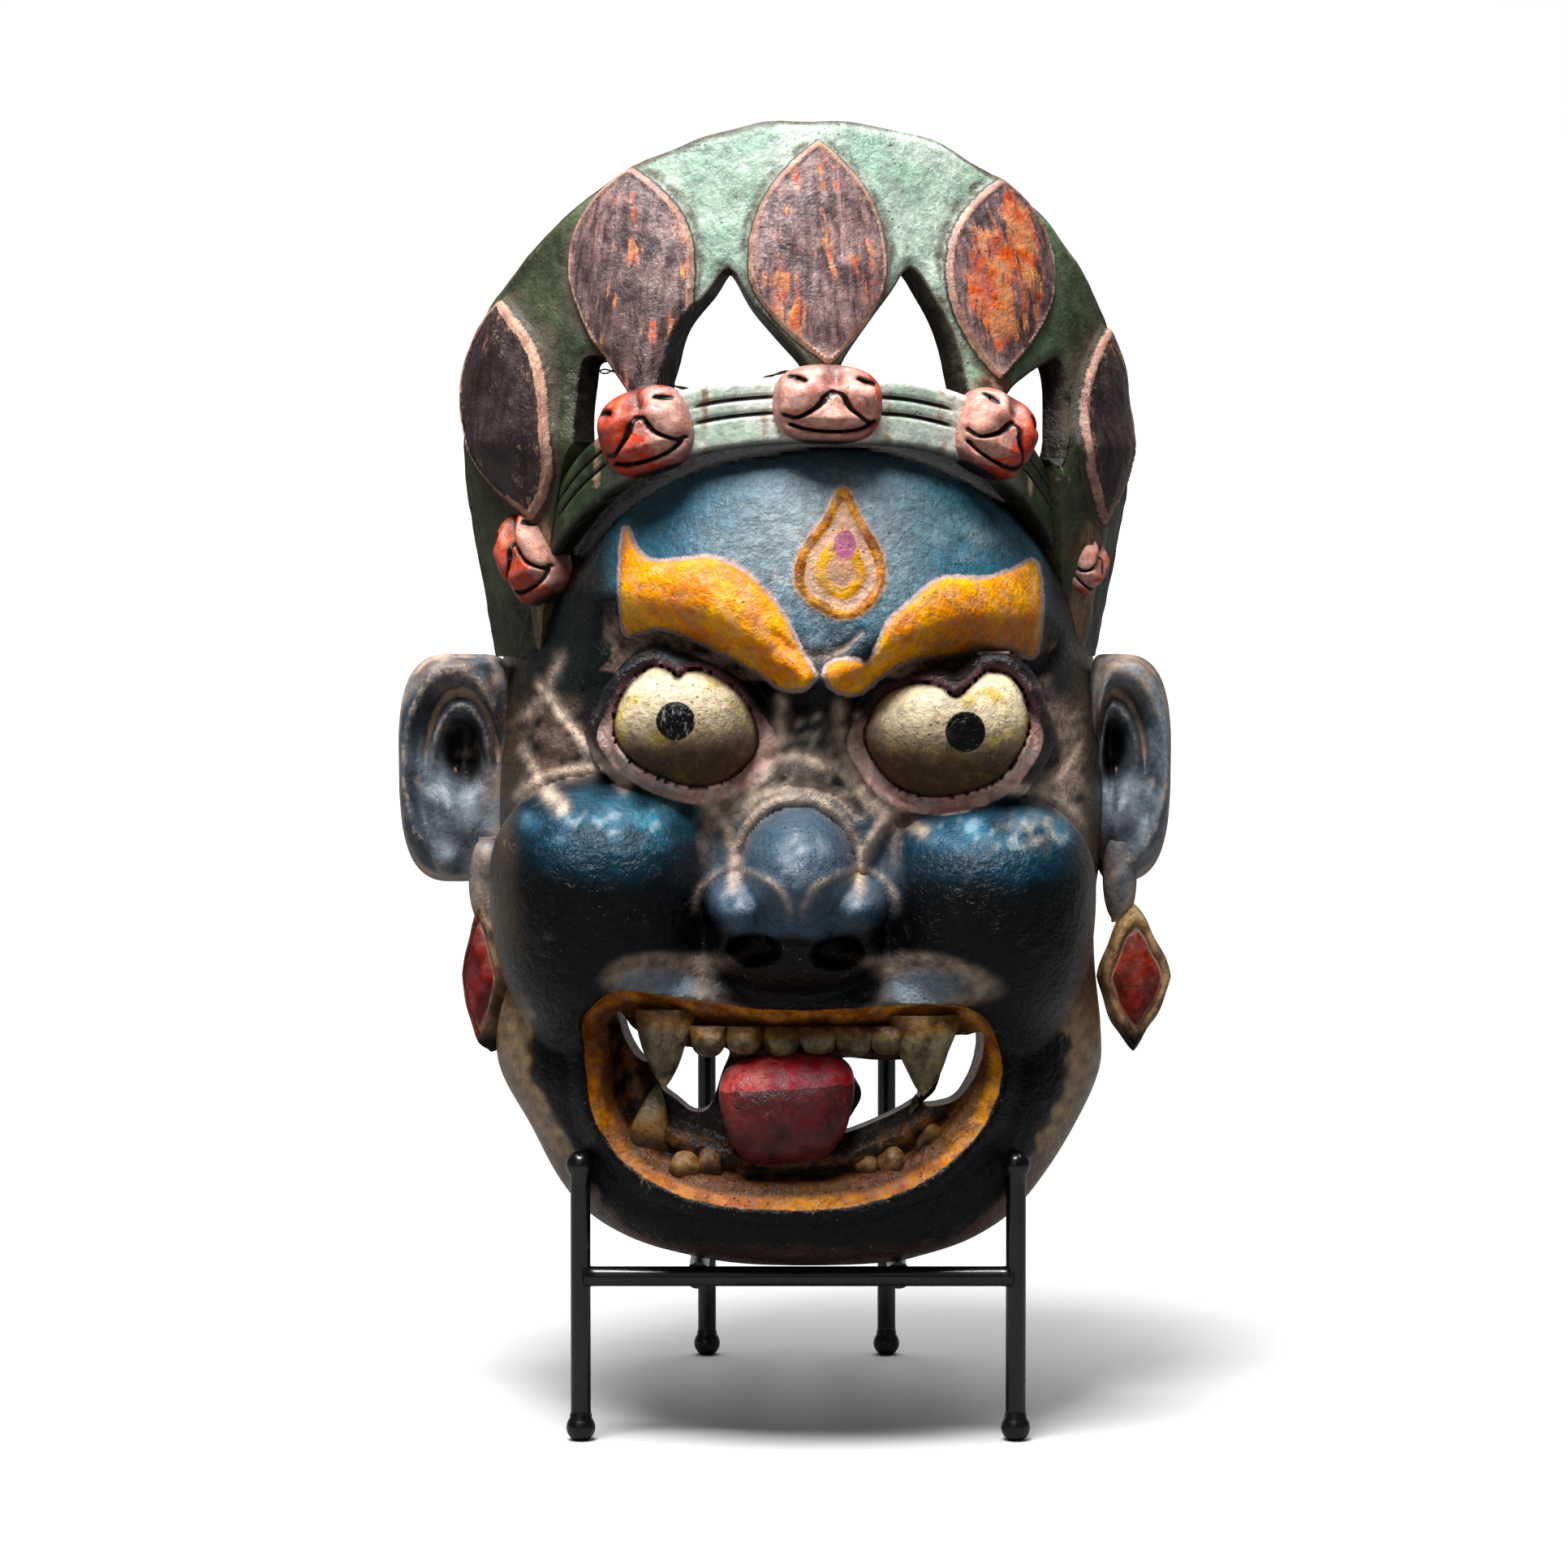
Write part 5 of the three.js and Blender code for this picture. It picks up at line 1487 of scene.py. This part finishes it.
def build_ear(name, side, x, wide, set_in=1.0):
    """Rings round the ear: from its middle out to the edge in front, and back in behind. The part
    towards the head is drawn in by set_in, so that it stays within the mask's wall."""
    turn = full_turn(EAR_AROUND)[None]
    front = np.linspace(0.02, 1, EAR_ROWS)[:, None]
    cos, sin = np.cos(turn), np.sin(turn)
    square = 3.0 + 3.5 * ease(0, -0.6, cos) * ease(0, 0.6, sin)
    boxy = 1 / (np.abs(cos) ** square + np.abs(sin) ** square) ** (1 / square)
    narrow = 1 + 0.03 * sin
    p, q = front * cos * boxy, front * sin * boxy
    depth = ear_front(p, q) * ease(1.0, 0.9, front) + 0.4 * ripple(p * 22, q * 44, 12, 41)
    edge_fall = 6 * ease(0.9, 1.0, front) ** 1.5
    y = EAR_FRONT_Y - depth + edge_fall
    back = np.array([0.98, 0.9, 0.7, 0.4, 0.05])[:, None]
    back_y = EAR_FRONT_Y + np.array([0.5, 0.75, 22 / 24, 1, 1])[:, None] * EAR_THICK
    reach = np.concatenate([p, back * cos * boxy]) * wide * narrow
    reach = np.where(reach < 0, reach * set_in, reach)
    height = np.concatenate([q, back * sin * boxy]) * EAR_HIGH
    y = np.concatenate([y + 0 * p, back_y + 0 * turn])
    grid = np.stack([x + side * reach, y, EAR_Z + height], -1)
    points, quads = ringed(grid)
    hollow, proud = worn_places(np.concatenate([depth, 0 * back * cos]), 1, 3)
    inner_side = ease(0.3, 0.8, -p) + ease(0.5, 0.8, q) * 0.7
    rim = np.concatenate([np.clip(ease(0.88, 0.97, front) + inner_side, 0, 1), 0 * back * cos + 1.0])
    # painted shade: darker where the carving goes deep, and in the upper bowl
    deep = ease(-1.0, -7.0, ear_front(p, q))
    deep = deep + 0.5 * ease(0.35, 0.6, q) * ease(0.75, 0.6, np.hypot(p, q))
    deep = np.concatenate([np.clip(deep, 0, 1), 0 * back * cos])
    values = {"hollow": hollow * 0.6, "proud": proud, "rim": rim, "deep": deep}
    return make_piece(name, points, quads, EAR_PAINT, with_ends(values))


def ear_colours(nodes):
    """Slate grey, with painted shade in the bowl, and rubbed to tan along the rim."""
    where = nodes.place()
    patch = nodes.noise(where, 48, 4, 0.6)
    slate = nodes.mottled(patch, (58, 68, 78), (136, 148, 158))
    tan = nodes.mottled(patch, (120, 100, 88), (190, 160, 138))
    worn = nodes.times(nodes.value("rim"), nodes.span(nodes.noise(where, 90, 3), 0.36, 0.6))
    slate = nodes.mix(nodes.value("deep"), slate, (22, 20, 21))
    return nodes.mix(nodes.times(worn, 0.8), slate, tan)


EAR_PAINT = finished("ear_paint", ear_colours, wear=0.5, dusting=1.0, pitting=0.6, bump=0.4)
ear_left = build_ear("ear_left", -1, -126.8, 22.0)
ear_right = build_ear("ear_right", 1, 128.0, 21.4, set_in=0.47)


LOBE_HALF = 17


def build_lobes():
    """What is left of the two lobes, down to the drops: rings that narrow in the middle."""
    t = np.linspace(0, 1, 24)[:, None]
    turn = full_turn(36)[None]
    parts = []
    for x, y, z, wide in ((-113, 74, 200, 7.5), (129, 84, 201, 6.5)):
        radius = wide * np.sin(np.pi * np.clip(t, 0.04, 0.96)) ** 0.35
        radius = radius * (1 + 0.05 * np.sin(3 * turn + x))
        up = z + LOBE_HALF * (2 * t - 1) + 0 * turn
        grid = np.stack([x + radius * np.cos(turn), y + radius * np.sin(turn), up], -1)
        parts.append(ringed(grid))
    points, quads = together(parts)
    flat = np.zeros(len(points))
    values = {"hollow": flat + 0.2, "proud": flat + 0.3, "rim": flat + 1, "deep": flat}
    return make_piece("lobe_ends", points, quads, EAR_PAINT, values)


lobe_ends = build_lobes()


def build_drop(name, x, y, z, turn, wide, high, red_to, shaded):
    """A lozenge: rings out from a raised middle, over a ridge at the border, and back behind."""
    around = full_turn(96)[None]
    cos, sin = np.cos(around), np.sin(around)
    lozenge = 1 / (np.abs(cos) ** 1.25 + np.abs(sin) ** 1.25) ** (1 / 1.25)
    grow = np.linspace(0.03, 1, 26)[:, None]
    depth = 7 + 2.2 * ease(0.66, 0.4, grow) - 1.4 * np.exp(-(((grow - 0.68) / 0.05) ** 2))
    depth = depth - 5.5 * ease(0.82, 1.0, grow) ** 2
    back = np.array([0.99, 0.94, 0.6, 0.05])[:, None]
    back_depth = np.array([-0.5, -4, -5, -5])[:, None]
    chipped = 1 + 0.03 * np.sin(3 * around + x) + 0.02 * np.sin(7 * around + z)
    size = np.concatenate([grow, back]) * lozenge * chipped
    out = np.concatenate([depth, back_depth]) + 0 * around
    grid = np.stack([size * cos * wide, -out, size * sin * high], -1)
    points, quads = ringed(grid @ about_z(math.radians(turn)).T + np.array([x, y, z]))
    hollow, proud = worn_places(out, 1, 3)
    flat = np.concatenate([(red_to - grow) * 20 + 0 * around, -FAR + 0 * back * cos])
    # darker towards the foot, and over a whole drop as much as it is given painted shade
    low = np.maximum(ease(-0.45, -0.85, size * sin), shaded)
    values = {"hollow": hollow, "proud": proud, "red": flat, "low": low}
    return make_piece(name, points, quads, DROP_PAINT, with_ends(values))


def drop_colours(nodes):
    """A red middle in a border of dull gold, both darker towards the foot and where a drop has painted
    shade.
    """
    where = nodes.place()
    patch = nodes.noise(where, 120, 4, 0.65)
    border = nodes.mottled(patch, (96, 66, 42), (196, 156, 108))
    border = nodes.mix(nodes.value("low"), border, (34, 26, 22))
    red = nodes.mottled(patch, (112, 30, 26), (172, 54, 46))
    red = nodes.mix(nodes.times(nodes.value("low"), 0.6), red, (60, 24, 20))
    return region(nodes, "red", border, red, waver=1.0)


DROP_PAINT = finished("drop_paint", drop_colours, wear=0.4, dusting=0.7, pitting=0.8, bump=0.45,
                      ground=(150, 108, 78), shine=0.2)
# the left drop is given painted shade
drop_left = build_drop("ear_drop_left", -110.5, 68, 164.5, -52, 14.0, 29.5, 0.78, 0.6)
drop_right = build_drop("ear_drop_right", 134, 83, 163, 8, 14.5, 28.5, 0.72, 0.0)


# ---------------------------------------------------------------- teeth and tongue


def fang(x, y, z, tip_x, tip_z, wide, seed, blunt=0.12):
    """A tooth: rings that narrow from the root to a blunt tip, bent and a little uneven."""
    t = np.linspace(0, 1, 18)[:, None]
    turn = full_turn(28)[None]
    radius = wide * ((1 - t**1.5) * (1 - blunt) + blunt * np.sqrt(np.clip(1 - t**6, 0, 1)))
    radius = radius * (1 + 0.07 * np.sin(3 * turn + seed) + 0.05 * np.sin(5 * turn + 7 * t + seed))
    across = x + (tip_x - x) * t**1.3 + radius * np.cos(turn)
    back = y - 3 * np.sin(np.pi * t) + 0.8 * radius * np.sin(turn)
    up = z + (tip_z - z) * t
    grid = np.stack(np.broadcast_arrays(across, back, up), -1)
    return ringed(grid), np.pad(t + 0 * turn, [(1, 1), (0, 0)], "edge")


def tooth_colours(nodes):
    """Old bone, stained yellow-brown at the root."""
    where = nodes.place()
    patch = nodes.noise(where, 150, 5, 0.65)
    bone = nodes.mottled(patch, (64, 56, 38), (140, 126, 92))
    root = nodes.mottled(patch, (96, 58, 18), (178, 124, 46))
    along = nodes.jogged(nodes.value("along"), patch, 0.5)
    return nodes.mix(nodes.span(along, 0.12, 0.3), root, bone)


def build_teeth():
    """Two fangs above and two below, the upper row between them and four stumps in the lower gum."""
    made = [
        fang(-44, -8, 159, -43.5, 130, 11, 1.0),
        fang(50, -8, 157, 50.5, 127, 12.5, 2.0),
        fang(-50, -2, 106, -46, 131, 9, 3.0),
        fang(52, -2, 106, 48, 127, 9, 4.0),
    ]
    for k, (x, wide) in enumerate([(-27, 7), (-14, 7.4), (-1, 7.6), (12, 7.6), (25, 7.4), (37, 6.4)]):
        made.append(fang(x, -11, 153, x, 141.5 + 0.8 * (k % 2), wide, k + 5.0, 0.7))
    for k, (x, wide) in enumerate([(-36, 6.5), (-27, 5), (30, 5.5), (39, 6.5)]):
        made.append(fang(x, -11, 98, x, 108 + 2 * (k % 2), wide, k + 15.0, 0.6))
    points, quads = together([each[0] for each in made])
    stained = [1, 1, 0.35, 0.35] + [0.62] * 6 + [0.2] * 4
    along = np.concatenate([each[1].ravel() * part for each, part in zip(made, stained)])
    values = {"along": along, "hollow": ease(0.35, 0.0, along), "proud": ease(0.6, 1.0, along)}
    material = finished("tooth_paint", tooth_colours, wear=0.6, dusting=0.5, pitting=0.8, bump=0.5,
                        ground=(176, 160, 120), dust=(46, 34, 24))
    return make_piece("teeth", points, quads, material, values)


# how far along the tongue, back and up
TONGUE_PATH = [
    [0, 16, 124],
    [0.3, 2, 132],
    [0.55, -12, 132],
    [0.75, -19, 124],
    [0.9, -19, 113],
    [1, -15, 106],
]


def build_tongue():
    """A slab carried along a bent path: up out of the throat, over the lower gum, its end rolled
    under. Each ring is a flattened round, hollowed along the top."""
    t = np.linspace(0, 1, 60)[:, None]
    turn = full_turn(64)[None]
    path = fair(TONGUE_PATH, t)
    run = unit(np.gradient(np.concatenate(path, 1), axis=0))
    normal_y, normal_z = -run[:, 1:], run[:, :1]
    wide = fair([[0, 18], [0.3, 22], [0.6, 24.5], [0.85, 22], [1, 15]], t)[0]
    thick = fair([[0, 8], [0.4, 10], [0.7, 10], [0.9, 8], [1, 4]], t)[0]
    cos, sin = np.cos(turn), np.sin(turn)
    across = np.sign(cos) * np.abs(cos) ** 0.75 * wide
    up = np.sign(sin) * np.abs(sin) ** 0.8 * thick
    up = up - 2.2 * np.exp(-((across / 7) ** 2)) * (sin > 0)
    lean = 0.06 * across
    grid = np.stack([1 + across + 0 * t, path[0] + normal_y * up, path[1] + normal_z * up + lean], -1)
    points, quads = ringed(grid)
    height = np.pad(grid[..., 2] - 0.06 * across, [(1, 1), (0, 0)], "edge")
    values = {"band": height - 131.5, "hollow": ease(116, 104, height) * 0.4, "proud": 0.2 + 0 * height}
    material = finished("tongue_paint", tongue_colours, wear=0.35, dusting=0.6, pitting=0.7, bump=0.5,
                        ground=(150, 70, 60), dust=(60, 30, 26))
    return make_piece("tongue", points, quads, material, values)


def tongue_colours(nodes):
    """Crimson along the top and a darker red below."""
    where = nodes.place()
    patch = nodes.noise(where, 110, 4, 0.65)
    body = nodes.mottled(patch, (66, 18, 22), (112, 36, 38))
    tip = nodes.mottled(patch, (158, 36, 46), (196, 62, 68))
    return region(nodes, "band", body, tip, waver=1.0)


teeth = build_teeth()
tongue = build_tongue()
for piece in (ear_left, ear_right, lobe_ends, drop_left, drop_right, teeth, tongue):
    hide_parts("mask")


# ---------------------------------------------------------------- the tie wire

WIRE_RADIUS, WIRE_SIDES = 0.32, 8


def tube(path, radius):
    """Rings of one radius carried along a path, each square to it."""
    run = unit(np.gradient(path, axis=0))
    side = unit(np.cross(run, (0, 0, 1.0)))
    over = np.cross(side, run)
    turn = full_turn(WIRE_SIDES)
    ring = np.cos(turn)[None, :, None] * side[:, None] + np.sin(turn)[None, :, None] * over[:, None]
    return ringed(path[:, None] + radius * ring)


def build_wire():
    """Thin wire behind the necks of the leaves: one run, a second twisted round it, and a knot."""
    angle = np.linspace(-38, 7, 420)
    behind = -PLATE - 0.9
    base_z = 389 + 4 * np.sin((angle + 38) / 6.4 * 1.1)
    first = on_crown(angle, base_z, behind)
    twist = np.linspace(0, 60, len(angle))
    knot = np.exp(-(((angle + 10) / 1.6) ** 2))
    apart = 0.42 + 1.0 * knot + 1.3 * ease(-22, -36, angle)
    up = apart * np.cos(twist)
    second = on_crown(angle, base_z + up, behind - 0.6 * apart * np.abs(np.sin(twist)))
    third = on_crown(angle, base_z - up, behind - 0.6 * apart * np.abs(np.sin(twist + 0.6)))
    points, quads = together([tube((first + second) * 0.5, WIRE_RADIUS), tube(third, WIRE_RADIUS)])
    return make_piece("tie_wire_twist", points, quads, WIRE)


def metal(name, colours, roughness, metallic, scale, bump, coat=0.0):
    """Metal or enamel with uneven tone, roughness and a faint surface."""
    material, nodes = bare_material(name)
    where = nodes.place()
    broad = nodes.noise(where, scale, 4, 0.6)
    fine = nodes.noise(where, scale * 9, 3, 0.6)
    shader = nodes.add("ShaderNodeBsdfPrincipled")
    nodes.join(nodes.mottled(broad, *colours), shader.inputs["Base Color"])
    nodes.join(nodes.span(fine, 0.3, 0.7, *roughness), shader.inputs["Roughness"])
    nodes.fill(shader, {"Metallic": metallic, "Coat Weight": coat, "Coat Roughness": 0.08})
    close_material(nodes, shader, nodes.plus(broad, nodes.times(fine, 0.3)), bump, 0.4)
    return material


WIRE = metal("iron_wire", [(52, 40, 34), (92, 66, 50)], (0.4, 0.7), 0.7, 400, 0.3)
wire = build_wire()
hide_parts("tie_wire")


# ---------------------------------------------------------------- the stand

ROD, BALL = 7.3, 10.6  # their widths
ROD_SIDES, BALL_RINGS = 40, 14
FILED = 0.6  # taken off the foot of each post
WELD = 6  # degrees of a ball that its weld takes up
ENAMEL = metal("black_enamel", [(9, 7, 9), (17, 13, 15)], (0.22, 0.34), 0.0, 40, 0.06, coat=0.5)


def lathe(profile, base, axis):
    """A profile of (distance along, radius) turned round an axis from a base point."""
    profile = np.array(profile, float)
    axis = np.array(axis, float) / np.linalg.norm(axis)
    side = np.cross(axis, (0.3, 0.5, 0.81))
    side = side / np.linalg.norm(side)
    over = np.cross(axis, side)
    turn = full_turn(ROD_SIDES)
    ring = np.cos(turn)[:, None] * side + np.sin(turn)[:, None] * over
    middle = np.array(base, float) + profile[:, :1] * axis
    return ringed(middle[:, None] + profile[:, 1, None, None] * ring)


def ball_arc(centre, start, end):
    """Profile points on a ball whose centre is some way along the axis, from one angle to another."""
    a = np.radians(np.linspace(start, end, BALL_RINGS))
    return [(centre - BALL / 2 * math.cos(v), BALL / 2 * math.sin(v)) for v in a]


def weld_bead(rise, reach, places):
    """Profile points of a rod that swells towards its end."""
    return [(d, ROD / 2 + rise * math.exp(-((d / reach) ** 2))) for d in places]


def build_leg(name, node):
    """A post with a ball at each end: filed flat below, a weld swelling where the balls join."""
    low, high = (in_mask(corner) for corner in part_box(node))
    x, y, _ = (low + high) / 2
    tip = high[2] - BALL / 2
    foot = low[2] + BALL / 2 - FILED
    flat = math.degrees(math.acos((BALL / 2 - FILED) / (BALL / 2)))
    throat = math.degrees(math.asin(ROD / BALL))
    neck = BALL / 2 * math.cos(math.radians(throat))
    bead = weld_bead(0.55, 1.2, (0.6, 1.2, 2.0, 3.2))
    weld = [(foot + neck + d, r) for d, r in bead] + [(tip - neck - d, r) for d, r in bead[::-1]]
    lower, upper = ball_arc(foot, flat, 180 - throat - WELD), ball_arc(tip, throat + WELD, 179)
    profile = [(0.0, 0.4), *lower, *weld, *upper]
    points, quads = lathe(profile, (x, y, 0), (0, 0, 1))
    piece = make_piece(name, points, quads, ENAMEL, sharp=50)
    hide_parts(node)
    return piece


def build_rod(name, node, axis):
    """A level rod with a lumpy weld bead where each end meets its neighbour."""
    low, high = (in_mask(corner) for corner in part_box(node))
    middle = (low + high) / 2
    long = (high - low)[axis]
    along = np.zeros(3)
    along[axis] = 1.0
    base = middle - along * long / 2
    bead = weld_bead(1.2, 1.6, (0.0, 0.8, 1.6, 2.6, 4.2))
    profile = [*bead, *[(long - d, r) for d, r in bead[::-1]]]
    points, quads = lathe(profile, base, along)
    piece = make_piece(name, points, quads, ENAMEL, sharp=50)
    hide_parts(node)
    return piece


for side in ("left", "right"):
    build_leg(f"front_post_{side}", f"front_leg_{side}")
    build_leg(f"rear_post_{side}", f"rear_leg_{side}")
    build_rod(f"side_rail_{side}", f"rail_{side}", 1)
build_rod("front_bar", "crossbar", 0)


# ---------------------------------------------------------------- floor, light and camera


def paper(name, seen, returned):
    """Pale paper: one grey where it is looked at, and a darker one for the light that it returns."""
    material = bpy.data.materials.new(name)
    material.use_nodes = True
    nodes = Nodes(material.node_tree)
    shader = material.node_tree.nodes["Principled BSDF"]
    looked_at = nodes.add("ShaderNodeLightPath").outputs["Is Camera Ray"]
    tone = nodes.mix(looked_at, (returned, returned, returned, 1), (seen, seen, seen, 1))
    nodes.fill(shader, {"Base Color": tone, "Roughness": 0.9, "Specular IOR Level": 0.0})
    return material


def build_sweep():
    """A floor that bends up into a back wall, one smooth sheet."""
    flat = np.array([(-3.0, 0.0), (-1.0, 0.0), (0.3, 0.0)])
    a = np.radians(np.linspace(0, 90, 24))
    bend = np.stack([0.55 + 0.9 * np.sin(a), 0.9 - 0.9 * np.cos(a)], 1)
    wall = np.array([(1.45, 2.0), (1.45, 4.0)])
    profile = np.concatenate([flat, bend, wall])
    across = np.array([-4.0, 4.0])
    grid = np.stack(np.broadcast_arrays(across, profile[:, :1], profile[:, 1:]), -1)
    mesh = bpy.data.meshes.new("sweep")
    index = np.arange(len(profile) * 2).reshape(-1, 2)
    mesh.from_pydata(grid.reshape(-1, 3).tolist(), [], cells(index).tolist())
    mesh.update()
    mesh.polygons.foreach_set("use_smooth", np.ones(len(mesh.polygons), bool))
    mesh.materials.append(paper("pale_paper", 0.84, 0.22))
    sweep = bpy.data.objects.new("sweep", mesh)
    bpy.context.scene.collection.objects.link(sweep)


def softbox(name, place, aim, size, power):
    """A square light of one size that looks from a place at a point."""
    data = bpy.data.lights.new(name, "AREA")
    data.size = size
    data.energy = power
    lamp = bpy.data.objects.new(name, data)
    lamp.location = place
    lamp.rotation_euler = (Vector(aim) - Vector(place)).to_track_quat("-Z", "Y").to_euler()
    bpy.context.scene.collection.objects.link(lamp)


build_sweep()
softbox("overhead", (-0.2, -0.5, 1.6), (0, -0.02, 0.3), 0.7, 38)
softbox("front_fill", (-0.6, -1.9, 1.1), (0, 0, 0.25), 1.4, 1.8)
softbox("backdrop", (0.0, 0.45, 2.0), (0, 1.3, 0.3), 1.8, 34)

world = bpy.data.worlds.new("studio")
world.use_nodes = True
world.node_tree.nodes["Background"].inputs[0].default_value = (1, 1, 1, 1)
world.node_tree.nodes["Background"].inputs[1].default_value = 0.06
bpy.context.scene.world = world
bpy.context.scene.view_settings.view_transform = "Standard"

CAMERA_AT = (0.0, -1.5, 0.295)  # a metre and a half in front of the legs, as high as the brows
CAMERA_DOWN = 2.095  # degrees
camera = bpy.data.objects.new("camera", bpy.data.cameras.new("camera"))
camera.data.lens = 94.75
camera.data.sensor_width = 36
camera.location = ORIGIN + np.array(CAMERA_AT)
camera.rotation_euler = (math.radians(90 - CAMERA_DOWN), 0, 0)
camera.data.clip_start, camera.data.clip_end = 0.05, 20
bpy.context.scene.collection.objects.link(camera)
bpy.context.scene.camera = camera
